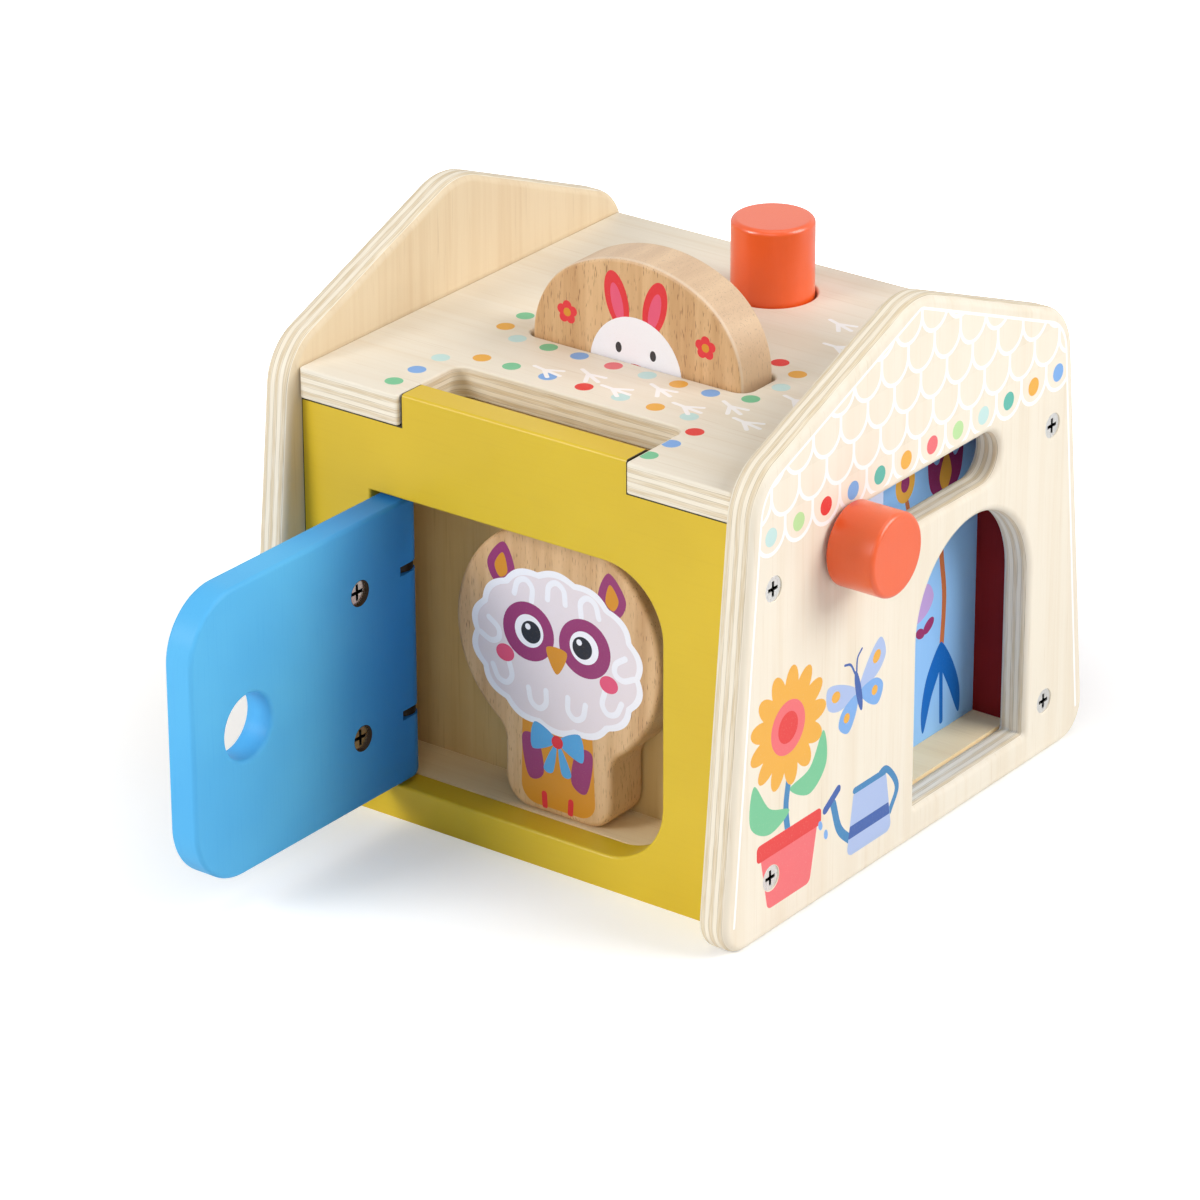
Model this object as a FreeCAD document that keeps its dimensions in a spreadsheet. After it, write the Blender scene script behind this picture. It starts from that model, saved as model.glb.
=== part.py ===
"""Wooden pop-up house for small children: a plywood house with a door, a push button that
lifts a figure through the roof, a knob that slides a picture behind a window, and a figure
that is posted through the roof. Millimetres. X runs along the front from left to right,
Y from front to back, Z up, and the origin is the middle of the base's underside."""
import FreeCAD, Part
import math
import os
import Sketcher

V = FreeCAD.Vector
doc = FreeCAD.newDocument("PopUpHouse")

SIZES = {
    # plywood sheets
    "side_thickness": 9,
    "frame_thickness": 9,
    "roof_thickness": 9,
    "base_thickness": 10,
    "partition_thickness": 9,
    # overall form
    "inner_width": 140,
    "frame_depth": 139,
    "roof_height": 124.5,
    "roof_overhang": 1.2,
    # gabled side panels
    "side_base_depth": 173,
    "side_lean": 5.8,
    "gable_height": 157.7,
    "gable_slope": 21.3,
    "ridge_radius": 22,
    "eave_radius": 17,
    "side_foot_radius": 10,
    "side_edge_round": 2.4,
    "frame_edge_round": 0.8,
    # openings of the housing
    "doorway_width": 95,
    "doorway_height": 84.5,
    "doorway_radius": 19,
    "tab_width": 73,
    "tab_gap": 0.2,
    "posting_gap": 16,
    "window_width": 53.5,
    "window_front": 2,
    "window_spring_height": 57.75,
    "knob_slot_length": 79,
    "knob_slot_width": 14,
    "knob_slot_height": 99.8,
    # sliding picture, its board and its knob
    "picture_gap": 11.2,
    "board_thickness": 6,
    "picture_thickness": 9,
    "picture_play": 1.1,
    "picture_wall_gap": 0.5,
    "picture_length": 59.4,
    "picture_top_height": 112,
    "picture_floor_gap": 0.4,
    "picture_corner": 4,
    "knob_radius": 11.5,
    "knob_length": 14.5,
    "knob_panel_gap": 1,
    "knob_chamfer": 0.8,
    "knob_end_gap": 0.2,
    "spacer_play": 0.3,
    "knob_screw_length": 27,
    # door and its hinges
    "door_hinge_gap": 0.7,
    "door_clearance": 1.2,
    "door_corner_radius": 18,
    "door_edge_round": 1.2,
    "door_angle": 90.6,
    "finger_hole_radius": 9.1,
    "finger_hole_inset": 21.8,
    "hinge_spacing": 42.2,
    "hinge_nut_inset": 25.7,
    "hinge_nut_radius": 3.5,
    "hinge_nut_length": 6.2,
    "hinge_nut_depth": 1,
    "hinge_nut_recess_reach": 2.3,
    "hinge_rod_radius": 1.5,
    "hinge_rod_seat": 8,
    "eye_radius": 4.1,
    "eye_thickness": 2.2,
    "eye_shank_radius": 1.4,
    "slit_play": 0.3,
    "shaft_play": 0.08,
    # pop-up figure and its guides
    "figure_width": 68,
    "figure_thickness": 14.5,
    "figure_crown_radius": 43,
    "figure_shoulder_radius": 26,
    "figure_show": 28.4,
    "figure_length": 66,
    "figure_foot_width": 78,
    "figure_foot_height": 8,
    "figure_edge_round": 1.8,
    "figure_setback": 8.8,
    "figure_travel": 19,
    "figure_slot_length": 72,
    "figure_slot_width": 16,
    "guide_play": 0.4,
    "guide_thickness": 11,
    "guide_depth": 26,
    "guide_length": 33.5,
    # push button
    "button_radius": 11.5,
    "button_show": 21.7,
    "button_chamfer": 1.5,
    "button_setback": 46.6,
    "button_hole_play": 0.7,
    "button_nose_radius": 6.5,
    "button_nose_length": 9.3,
    "washer_radius": 13.3,
    "washer_thickness": 4,
    "washer_gap": 0.3,
    # rocker
    "rocker_tip_radius": 5.5,
    "rocker_web": 5,
    "rocker_width": 14,
    "rocker_hub_radius": 6.5,
    "rocker_contact_gap": 0.3,
    "rocker_side_gap": 1,
    "rocker_pin_radius": 2.5,
    "post_thickness": 9,
    "post_depth": 18,
    "post_head": 9,
    # posting figure
    "posting_head_radius": 33.5,
    "posting_height": 83.8,
    "posting_body_width": 35.2,
    "posting_thickness": 14.5,
    "posting_neck_radius": 7,
    "posting_foot_radius": 8,
    "posting_offset": 6.3,
    "posting_floor_gap": 0.2,
    # fasteners
    "screw_head_radius": 3.5,
    "screw_shank_radius": 1.5,
    "screw_length": 27,
    "screw_head_depth": 2.6,
    "screw_recess": 0.3,
    "screw_recess_width": 1,
    "screw_recess_depth": 1.2,
    "screw_recess_reach": 2.1,
    "screw_play": 0.05,
    "low_screw_height": 16.6,
    "high_screw_height": 98.4,
    "base_screw_length": 22,
    "base_screw_span": 80,
    "dowel_radius": 3,
    "dowel_length": 16,
    "dowel_inset": 15,
}

sheet = doc.addObject("Spreadsheet::Sheet", "Sizes")
for row, (alias, number) in enumerate(SIZES.items(), start=1):
    sheet.set(f"A{row}", alias)
    sheet.set(f"B{row}", str(number))
    sheet.setAlias(f"B{row}", alias)
doc.recompute()


def named(formula):
    """The formula with each size's name written as a reference to its cell."""
    words = [f"Sizes.{word}" if word in SIZES else word for word in formula.split()]
    return " ".join(words)


def value(formula):
    """The number that a formula in size names gives."""
    result = sheet.evalExpression(named(formula))
    return float(getattr(result, "Value", result))


def bind(thing, **formulas):
    """Ties properties of an object to formulas in size names."""
    for name, formula in formulas.items():
        thing.setExpression(name.replace("__", "."), named(formula))
    return thing


def place(thing, x="0", y="0", z="0"):
    """Ties an object's position to three formulas."""
    return bind(thing, Placement__Base__x=x, Placement__Base__y=y, Placement__Base__z=z)


# How near two places must be to count as one, and two directions to count as parallel.
NEAR = 0.01
ALIGNED = 1e-6

# Lines of the house, each used by several pieces.
SIDE_FACE = "( inner_width / 2 + side_thickness )"
FRONT_FACE = "( - frame_depth / 2 )"
FRONT_BACK = "( - frame_depth / 2 + frame_thickness )"
REAR_INSIDE = "( frame_depth / 2 - frame_thickness )"
ROOF_UNDER = "( roof_height - roof_thickness )"
POSTING_BACK = f"( {FRONT_BACK} + posting_gap )"
PARTITION_BACK = f"( {POSTING_BACK} + partition_thickness )"
SCREW_LINE = "( frame_depth / 2 - frame_thickness / 2 )"
BOARD_FACE = "( inner_width / 2 - picture_gap )"
BOARD_BACK = f"( {BOARD_FACE} - board_thickness )"
LEAN = "tan( side_lean * 1 deg )"
SLOPE = "tan( gable_slope * 1 deg )"
EAVE_LEVEL = f"( ( gable_height - {SLOPE} * side_base_depth / 2 ) / ( 1 - {SLOPE} * {LEAN} ) )"
EAVE_REACH = f"( side_base_depth / 2 - {EAVE_LEVEL} * {LEAN} )"
DOOR_WIDTH = "( doorway_width - door_hinge_gap - door_clearance )"
DOOR_HEIGHT = "( doorway_height - 2 * door_clearance )"
HINGE_EDGE = "( - doorway_width / 2 + door_hinge_gap )"
HINGE_X = f"( {HINGE_EDGE} + frame_thickness / 2 )"
HINGE_Y = f"( {FRONT_FACE} + frame_thickness / 2 )"
DOOR_MIDDLE = "( base_thickness + doorway_height / 2 )"
SLIT_HEIGHT = "( eye_thickness + 2 * slit_play )"
SLIT_DEPTH = "( frame_thickness / 2 + eye_radius + slit_play )"
FIGURE_TOP = "( roof_height + figure_show )"
FIGURE_FOOT = f"( {FIGURE_TOP} - figure_length )"
ROCKER_ARM = "( ( figure_setback + button_setback ) / 2 )"
ROCKER_Y = "( ( button_setback - figure_setback ) / 2 )"
ROCKER_TILT = f"asin( figure_travel / 2 / {ROCKER_ARM} )"
ROCKER_LEVEL = f"( {FIGURE_FOOT} - rocker_contact_gap - rocker_tip_radius + figure_travel / 2 )"
BUTTON_FOOT = f"( {ROCKER_LEVEL} + figure_travel / 2 + rocker_tip_radius + rocker_contact_gap )"
SPACER_RADIUS = "( knob_slot_width / 2 - spacer_play )"
SLOT_REACH = "( knob_slot_length / 2 - knob_slot_width / 2 )"
KNOB_Y = f"( knob_end_gap - {SLOT_REACH} )"
PICTURE_BACK = f"( {BOARD_FACE} + picture_play )"
PICTURE_FRONT = f"( {PICTURE_BACK} + picture_thickness )"
KNOB_BACK = f"( {SIDE_FACE} + knob_panel_gap )"
POSTING_FLOOR = "( base_thickness + posting_floor_gap )"

# Holes for the screws, and how far each screw goes into the second piece.
SHANK_HOLE = "screw_shank_radius + screw_play"
HEAD_SEAT = "screw_head_radius + screw_play"
HEAD_SEAT_DEPTH = "screw_head_depth + screw_recess"
SIDE_SCREW_GRIP = "screw_length - side_thickness + screw_recess"
BASE_SCREW_GRIP = "base_screw_length - base_thickness + screw_recess"


def body(label):
    """An empty part body with its own label."""
    part = doc.addObject("PartDesign::Body", label)
    part.Label = label
    return part


def sketch_on(part, name, role, offset=None):
    """A sketch on one of the body's own origin planes, moved along its normal by a formula."""
    outline = part.newObject("Sketcher::SketchObject", name)
    plane = next(f for f in part.Origin.OriginFeatures if f.Role == role)
    outline.AttachmentSupport = [(plane, "")]
    outline.MapMode = "FlatFace"
    if offset:
        bind(outline, AttachmentOffset__Base__z=offset)
    return outline


def fix(outline, kind, element, point, formula, name):
    """A dimension in a sketch, measured from the sketch's origin where it is a distance."""
    number = value(formula)
    if kind == "Radius":
        index = outline.addConstraint(Sketcher.Constraint(kind, element, number))
    else:
        index = outline.addConstraint(Sketcher.Constraint(kind, -1, 1, element, point, number))
    outline.renameConstraint(index, name)
    outline.setExpression(f"Constraints.{name}", named(formula))


def polygon(outline, corners, tag="corner"):
    """A closed polygon whose corners are pairs of formulas."""
    spots = [V(value(x), value(y), 0) for x, y in corners]
    lines = []
    for start, end in zip(spots, spots[1:] + spots[:1]):
        lines.append(outline.addGeometry(Part.LineSegment(start, end), False))
    for line, following in zip(lines, lines[1:] + lines[:1]):
        outline.addConstraint(Sketcher.Constraint("Coincident", line, 2, following, 1))
    for number, (line, (x, y)) in enumerate(zip(lines, corners)):
        fix(outline, "DistanceX", line, 1, x, f"{tag}_{number}_across")
        fix(outline, "DistanceY", line, 1, y, f"{tag}_{number}_up")
    return outline


def rectangle(outline, left, right, low, high, tag="corner"):
    """A rectangle between four formulas."""
    return polygon(outline, [(left, low), (right, low), (right, high), (left, high)], tag)


def circle(outline, x, y, radius, tag="circle"):
    """A circle at a place and of a radius given by formulas."""
    ring = outline.addGeometry(Part.Circle(V(value(x), value(y), 0), V(0, 0, 1), value(radius)), False)
    fix(outline, "Radius", ring, 3, radius, f"{tag}_radius")
    fix(outline, "DistanceX", ring, 3, x, f"{tag}_across")
    fix(outline, "DistanceY", ring, 3, y, f"{tag}_up")
    return outline


def pad(part, outline, name, length, both_ways=False):
    """Material raised from a sketch along its plane's normal."""
    doc.recompute()
    feature = part.newObject("PartDesign::Pad", name)
    feature.Profile = outline
    feature.Midplane = both_ways
    bind(feature, Length=length)
    doc.recompute()


def pocket(part, outline, name, length=None, along_normal=False):
    """Material cut from a sketch: through everything both ways, or to a depth."""
    doc.recompute()
    before = part.Shape.Volume
    feature = part.newObject("PartDesign::Pocket", name)
    feature.Profile = outline
    if length is None:
        feature.Type = 1
        feature.Midplane = True
    else:
        feature.Reversed = along_normal
        bind(feature, Length=length)
    doc.recompute()
    if not feature.Shape.Volume < before:
        raise RuntimeError(f"{name} cuts nothing")


def rounded(part, name, radius, chosen):
    """A fillet on the edges of the body's last feature that a test chooses."""
    doc.recompute()
    base = part.Tip
    names = [f"Edge{n}" for n, edge in enumerate(base.Shape.Edges, start=1) if chosen(edge)]
    if not names:
        raise RuntimeError(f"{name} finds no edge")
    feature = part.newObject("PartDesign::Fillet", name)
    feature.Base = (base, names)
    bind(feature, Radius=radius)
    doc.recompute()


def upright_at(axis, *spots):
    """A test for straight edges along an axis whose other two coordinates are near a spot."""
    keep = [i for i in range(3) if i != "xyz".index(axis)]

    def chosen(edge):
        if edge.Curve.TypeId != "Part::GeomLine":
            return False
        direction = edge.Curve.Direction
        if abs(abs((direction.x, direction.y, direction.z)["xyz".index(axis)]) - 1) > ALIGNED:
            return False
        middle = edge.CenterOfMass
        seen = [(middle.x, middle.y, middle.z)[i] for i in keep]
        return any(math.dist(seen, spot) < NEAR for spot in spots)
    return chosen


def in_plane(axis, *levels):
    """A test for edges that lie wholly in one of some planes across an axis."""
    def chosen(edge):
        box = edge.BoundBox
        low, high = getattr(box, f"{axis.upper()}Min"), getattr(box, f"{axis.upper()}Max")
        return high - low < NEAR and any(abs(low - level) < NEAR for level in levels)
    return chosen


def both(*tests):
    """A test that holds where all the tests hold."""
    return lambda edge: all(test(edge) for test in tests)


def screw_holes(part, role, spots, name):
    """A sketch of round holes for screw shanks on one of the body's planes."""
    outline = sketch_on(part, f"{name}_outline", role)
    for number, (x, y) in enumerate(spots):
        circle(outline, x, y, SHANK_HOLE, f"hole_{number}")
    return outline


# Gabled side panels: one outline, wider at the foot, with both eaves and the ridge rounded.
SIDE_OUTLINE = [
    ("- side_base_depth / 2", "0"),
    ("side_base_depth / 2", "0"),
    (EAVE_REACH, EAVE_LEVEL),
    ("0", "gable_height"),
    (f"- {EAVE_REACH}", EAVE_LEVEL),
]
SCREW_LEVELS = ("low_screw_height", "high_screw_height")
SIDE_SCREWS = [(f"{sign} {SCREW_LINE}", level) for sign in ("-", "1 *") for level in SCREW_LEVELS]


def side_panel(label, left_face, head_face):
    """A side panel up to its screw holes. Its faces lie across X."""
    panel = body(label)
    outline = polygon(sketch_on(panel, f"{label}_outline", "YZ_Plane"), SIDE_OUTLINE)
    pad(panel, outline, f"{label}_sheet", "side_thickness")
    foot = value("side_base_depth / 2")
    reach, level = value(EAVE_REACH), value(EAVE_LEVEL)
    rounded(panel, f"{label}_feet", "side_foot_radius", upright_at("x", (foot, 0), (-foot, 0)))
    rounded(panel, f"{label}_eaves", "eave_radius", upright_at("x", (reach, level), (-reach, level)))
    rounded(panel, f"{label}_ridge", "ridge_radius", upright_at("x", (0, value("gable_height"))))
    place(panel, x=left_face)
    pocket(panel, screw_holes(panel, "YZ_Plane", SIDE_SCREWS, f"{label}_screws"), f"{label}_screw_holes")
    sinks = sketch_on(panel, f"{label}_sink_outline", "YZ_Plane", head_face)
    for number, (y, z) in enumerate(SIDE_SCREWS):
        circle(sinks, y, z, HEAD_SEAT, f"sink_{number}")
    pocket(panel, sinks, f"{label}_head_seats", HEAD_SEAT_DEPTH, head_face == "0")
    return panel


def soften_side(panel):
    """The rounding of a side panel's outline and cut-outs on both of its faces."""
    near, far = 0, value("side_thickness")
    seats = [(value(y), value(z)) for y, z in SIDE_SCREWS]
    reach = value("screw_head_radius + side_edge_round")

    def clear_of_screws(edge):
        middle = edge.BoundBox.Center
        return all(math.dist((middle.y, middle.z), seat) > reach for seat in seats)
    rounded(panel, f"{panel.Label}_soft_edges", "side_edge_round",
            both(in_plane("x", near, far), clear_of_screws))


left_side = side_panel("left_side_panel", f"- {SIDE_FACE}", "0")
soften_side(left_side)

right_side = side_panel("right_side_panel", "inner_width / 2", "side_thickness")
WINDOW_MIDDLE = "( window_front + window_width / 2 )"
window = sketch_on(right_side, "window_lower_outline", "YZ_Plane")
rectangle(window, "window_front", "window_front + window_width", "base_thickness", "window_spring_height")
pocket(right_side, window, "window_lower_part")
arch = circle(sketch_on(right_side, "window_arch_outline", "YZ_Plane"),
              WINDOW_MIDDLE, "window_spring_height", "window_width / 2")
pocket(right_side, arch, "window_arch")
slot = sketch_on(right_side, "knob_slot_outline", "YZ_Plane")
rectangle(slot, f"- {SLOT_REACH}", SLOT_REACH,
          "knob_slot_height - knob_slot_width / 2", "knob_slot_height + knob_slot_width / 2")
pocket(right_side, slot, "knob_slot_middle")
for end, sign in (("front", "-"), ("back", "1 *")):
    tip = sketch_on(right_side, f"knob_slot_{end}_outline", "YZ_Plane")
    circle(tip, f"{sign} {SLOT_REACH}", "knob_slot_height", "knob_slot_width / 2")
    pocket(right_side, tip, f"knob_slot_{end}")
soften_side(right_side)

# Front panel, with the doorway and the tab that closes the notch in the roof.
front = body("front_panel")
HALF = "inner_width / 2"
front_outline = polygon(sketch_on(front, "front_outline", "XZ_Plane"), [
    (f"- {HALF}", "0"), (HALF, "0"), (HALF, ROOF_UNDER), ("tab_width / 2", ROOF_UNDER),
    ("tab_width / 2", "roof_height"), ("- tab_width / 2", "roof_height"),
    ("- tab_width / 2", ROOF_UNDER), (f"- {HALF}", ROOF_UNDER),
])
pad(front, front_outline, "front_sheet", "frame_thickness")
doorway = sketch_on(front, "doorway_outline", "XZ_Plane")
rectangle(doorway, "- doorway_width / 2", "doorway_width / 2",
          "base_thickness", "base_thickness + doorway_height")
pocket(front, doorway, "doorway")
jamb = value("doorway_width / 2")
sill, lintel = value("base_thickness"), value("base_thickness + doorway_height")
rounded(front, "doorway_corners", "doorway_radius", upright_at("y", (jamb, sill), (jamb, lintel)))
place(front, y=FRONT_BACK)
outer = value("- frame_thickness")
half_inner = value(HALF)


def clear_of_sides(edge):
    """Whether an edge keeps off the panel's two ends and its foot."""
    box = edge.BoundBox
    return max(abs(box.XMin), abs(box.XMax)) < half_inner - NEAR or (box.XLength > NEAR and box.ZMin > NEAR)


tab_top = value("roof_height")
rounded(front, "front_soft_edges", "frame_edge_round", both(in_plane("y", outer, 0), lambda edge: (
    abs(edge.BoundBox.ZMin - tab_top) < NEAR or (
        max(abs(edge.BoundBox.XMin), abs(edge.BoundBox.XMax)) < jamb + NEAR
        and edge.BoundBox.ZMax < lintel + NEAR and edge.BoundBox.ZMin > sill - NEAR))))
rod_holes = circle(sketch_on(front, "hinge_rod_outline", "XY_Plane"),
                   HINGE_X, "- frame_thickness / 2", "hinge_rod_radius")
pocket(front, rod_holes, "hinge_rod_bore", "base_thickness + doorway_height + hinge_rod_seat", True)
for end, sign in (("left", "-"), ("right", "1 *")):
    ends = sketch_on(front, f"front_{end}_screw_outline", "YZ_Plane", f"{sign} {HALF}")
    for number, level in enumerate(SCREW_LEVELS):
        circle(ends, "- frame_thickness / 2", level, SHANK_HOLE, f"hole_{number}")
    pocket(front, ends, f"front_{end}_screw_holes", SIDE_SCREW_GRIP, end == "left")

# Back panel: a plain sheet with the same screw holes in its ends.
back = body("back_panel")
rear = rectangle(sketch_on(back, "back_outline", "XZ_Plane"), f"- {HALF}", HALF, "0", ROOF_UNDER)
pad(back, rear, "back_sheet", "frame_thickness")
place(back, y="frame_depth / 2")
for end, sign in (("left", "-"), ("right", "1 *")):
    ends = sketch_on(back, f"back_{end}_screw_outline", "YZ_Plane", f"{sign} {HALF}")
    for number, level in enumerate(SCREW_LEVELS):
        circle(ends, "- frame_thickness / 2", level, SHANK_HOLE, f"hole_{number}")
    pocket(back, ends, f"back_{end}_screw_holes", SIDE_SCREW_GRIP, end == "left")

# Dowels that hold the roof to the tops of the front and back panels.
DOWEL_X = "( inner_width / 2 - dowel_inset )"
DOWEL_SPOTS = [(f"{a} {DOWEL_X}", f"{b} {SCREW_LINE}") for a in ("-", "1 *") for b in ("-", "1 *")]
DOWEL_FOOT = f"( {ROOF_UNDER} - dowel_length / 2 )"

# Roof: a flat sheet with the notch for the front tab, the figure's slot and the button's hole.
roof = body("top_panel")
ROOF_REACH = "( frame_depth / 2 + roof_overhang )"
NOTCH = "( tab_width / 2 + tab_gap )"
roof_outline = polygon(sketch_on(roof, "roof_outline", "XY_Plane"), [
    (f"- {HALF}", f"- {ROOF_REACH}"), (f"- {NOTCH}", f"- {ROOF_REACH}"),
    (f"- {NOTCH}", POSTING_BACK), (NOTCH, POSTING_BACK),
    (NOTCH, f"- {ROOF_REACH}"), (HALF, f"- {ROOF_REACH}"), (HALF, ROOF_REACH), (f"- {HALF}", ROOF_REACH),
])
pad(roof, roof_outline, "roof_sheet", "roof_thickness")
notch_x, notch_y = value(NOTCH), value(POSTING_BACK)
rounded(roof, "notch_corners", "picture_corner", upright_at("z", (notch_x, notch_y), (-notch_x, notch_y)))
pop_slot = sketch_on(roof, "figure_slot_outline", "XY_Plane")
SLOT_FRONT = "( - figure_setback - figure_slot_width / 2 )"
SLOT_REAR = "( - figure_setback + figure_slot_width / 2 )"
rectangle(pop_slot, "- figure_slot_length / 2", "figure_slot_length / 2", SLOT_FRONT, SLOT_REAR)
pocket(roof, pop_slot, "figure_slot")
slot_x = value("figure_slot_length / 2")
slot_corners = [(x, y) for x in (slot_x, -slot_x) for y in (value(SLOT_FRONT), value(SLOT_REAR))]
rounded(roof, "figure_slot_corners", "picture_corner", upright_at("z", *slot_corners))
hole = circle(sketch_on(roof, "button_hole_outline", "XY_Plane"),
              "0", "button_setback", "button_radius + button_hole_play")
pocket(roof, hole, "button_hole")
place(roof, z=ROOF_UNDER)
sheet_top = value("roof_thickness")
rounded(roof, "roof_soft_edges", "frame_edge_round", both(in_plane("z", sheet_top), clear_of_sides))

# The dowels' seats, in the roof and in the tops of the front and back panels.
seats = sketch_on(roof, "roof_dowel_outline", "XY_Plane")
for number, (x, y) in enumerate(DOWEL_SPOTS):
    circle(seats, x, y, "dowel_radius", f"dowel_{number}")
pocket(roof, seats, "roof_dowel_seats", "dowel_length / 2", True)
for part in (front, back):
    seats = sketch_on(part, f"{part.Label}_dowel_outline", "XY_Plane", ROOF_UNDER)
    for number, sign in enumerate(("-", "1 *")):
        circle(seats, f"{sign} {DOWEL_X}", "- frame_thickness / 2", "dowel_radius", f"dowel_{number}")
    pocket(part, seats, f"{part.Label}_dowel_seats", "dowel_length / 2")

# Base, between the front, the back and the two sides.
base = body("base_panel")
floor = rectangle(sketch_on(base, "base_outline", "XY_Plane"), f"- {HALF}", HALF, FRONT_BACK, REAR_INSIDE)
pad(base, floor, "base_sheet", "base_thickness")
POST_X = "( rocker_width / 2 + rocker_side_gap + post_thickness / 2 )"
PARTITION_MIDDLE = f"( {POSTING_BACK} + partition_thickness / 2 )"
BASE_SCREWS = [("- base_screw_span / 2", PARTITION_MIDDLE), ("base_screw_span / 2", PARTITION_MIDDLE),
               (f"- {POST_X}", ROCKER_Y), (POST_X, ROCKER_Y)]
pocket(base, screw_holes(base, "XY_Plane", BASE_SCREWS, "base_screws"), "base_screw_holes")
sinks = sketch_on(base, "base_sink_outline", "XY_Plane")
for number, (x, y) in enumerate(BASE_SCREWS):
    circle(sinks, x, y, HEAD_SEAT, f"sink_{number}")
pocket(base, sinks, "base_head_seats", HEAD_SEAT_DEPTH, True)

# Partition behind the posting compartment.
partition = body("partition_panel")
wall = rectangle(sketch_on(partition, "partition_outline", "XZ_Plane"),
                 f"- {HALF}", BOARD_BACK, "base_thickness", ROOF_UNDER)
pad(partition, wall, "partition_sheet", "partition_thickness")
place(partition, y=PARTITION_BACK)
holes = sketch_on(partition, "partition_screw_outline", "XY_Plane", "base_thickness")
for number, (x, _) in enumerate(BASE_SCREWS[:2]):
    circle(holes, x, "- partition_thickness / 2", SHANK_HOLE, f"hole_{number}")
pocket(partition, holes, "partition_screw_holes", BASE_SCREW_GRIP, True)

# Painted board that the window looks at. It runs from the front panel to the back panel.
board = body("picture_board")
sheet_outline = rectangle(sketch_on(board, "board_outline", "YZ_Plane"),
                          FRONT_BACK, REAR_INSIDE, "base_thickness", ROOF_UNDER)
pad(board, sheet_outline, "board_sheet", "board_thickness")
place(board, x=BOARD_BACK)


# Door, modelled closed about its hinge line and turned open by its angle.
def hang(part):
    """Puts a piece that rides on the door at the hinge line, with the door open."""
    part.Placement = FreeCAD.Placement(V(), FreeCAD.Rotation(V(0, 0, 1), -SIZES["door_angle"]))
    return place(part, x=HINGE_X, y=HINGE_Y)


door = body("door")
DOOR_HINGE = "( - frame_thickness / 2 )"
DOOR_FREE = f"( {DOOR_WIDTH} - frame_thickness / 2 )"
DOOR_LOW = "( base_thickness + door_clearance )"
DOOR_HIGH = f"( {DOOR_LOW} + {DOOR_HEIGHT} )"
leaf = rectangle(sketch_on(door, "door_outline", "XZ_Plane"), DOOR_HINGE, DOOR_FREE, DOOR_LOW, DOOR_HIGH)
pad(door, leaf, "door_sheet", "frame_thickness", both_ways=True)
free, low, high = value(DOOR_FREE), value(DOOR_LOW), value(DOOR_HIGH)
rounded(door, "door_corners", "door_corner_radius", upright_at("y", (free, low), (free, high)))
FINGER_X = f"( {DOOR_FREE} - finger_hole_inset )"
finger_hole = circle(sketch_on(door, "finger_hole_outline", "XZ_Plane"),
                     FINGER_X, DOOR_MIDDLE, "finger_hole_radius")
pocket(door, finger_hole, "finger_hole")
half_leaf = value("frame_thickness / 2")
rounded(door, "door_soft_edges", "door_edge_round", both(
    in_plane("y", -half_leaf, half_leaf), lambda edge: edge.BoundBox.XMax > -half_leaf + NEAR))
hinge_side = value(DOOR_HINGE)
rounded(door, "door_hinge_edge", "frame_thickness / 2 - shaft_play", lambda edge: (
    edge.BoundBox.ZLength > NEAR and edge.BoundBox.XMax < hinge_side + NEAR
    and edge.Curve.TypeId == "Part::GeomLine"))
LEVELS = [f"( {DOOR_MIDDLE} {sign} hinge_spacing / 2 )" for sign in ("-", "+")]
slits = sketch_on(door, "slit_outline", "XZ_Plane")
for number, level in enumerate(LEVELS):
    rectangle(slits, f"{DOOR_HINGE} - slit_play", f"{DOOR_HINGE} + {SLIT_DEPTH}",
              f"{level} - {SLIT_HEIGHT} / 2", f"{level} + {SLIT_HEIGHT} / 2", f"slit_{number}")
pocket(door, slits, "hinge_slits")
rod_bore = circle(sketch_on(door, "rod_bore_outline", "XY_Plane"), "0", "0", "hinge_rod_radius + shaft_play")
pocket(door, rod_bore, "hinge_rod_bore_in_door")
NUT_X = f"( {DOOR_HINGE} + hinge_nut_inset )"
NUT_FACE = "( hinge_nut_depth - frame_thickness / 2 )"
nuts = sketch_on(door, "nut_outline", "XZ_Plane", "- frame_thickness / 2")
for number, level in enumerate(LEVELS):
    circle(nuts, NUT_X, level, "hinge_nut_radius + screw_play", f"nut_{number}")
pocket(door, nuts, "hinge_nut_holes", "hinge_nut_length + hinge_nut_depth", True)
shanks = sketch_on(door, "shank_outline", "YZ_Plane")
for number, level in enumerate(LEVELS):
    circle(shanks, "0", level, "eye_shank_radius + screw_play", f"shank_{number}")
pocket(door, shanks, "hinge_shank_bores", NUT_X, True)
hang(door)


def together(label, pieces):
    """A node that groups like fasteners as separate solids."""
    group = doc.addObject("Part::Compound", label)
    group.Label = label
    group.Links = pieces
    return group


def cylinder(name, radius, length, axis="z"):
    """A cylinder that starts at its place and runs along an axis."""
    rod = doc.addObject("Part::Cylinder", name)
    bind(rod, Radius=radius, Height=length)
    if axis != "z":
        turn = {"x": FreeCAD.Rotation(V(0, 1, 0), 90), "y": FreeCAD.Rotation(V(1, 0, 0), -90)}[axis]
        rod.Placement = FreeCAD.Placement(V(), turn)
    return rod


def cut(label, whole, tool):
    """One solid less another."""
    result = doc.addObject("Part::Cut", label)
    result.Label = label
    result.Base = whole
    result.Tool = tool
    return result


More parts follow.
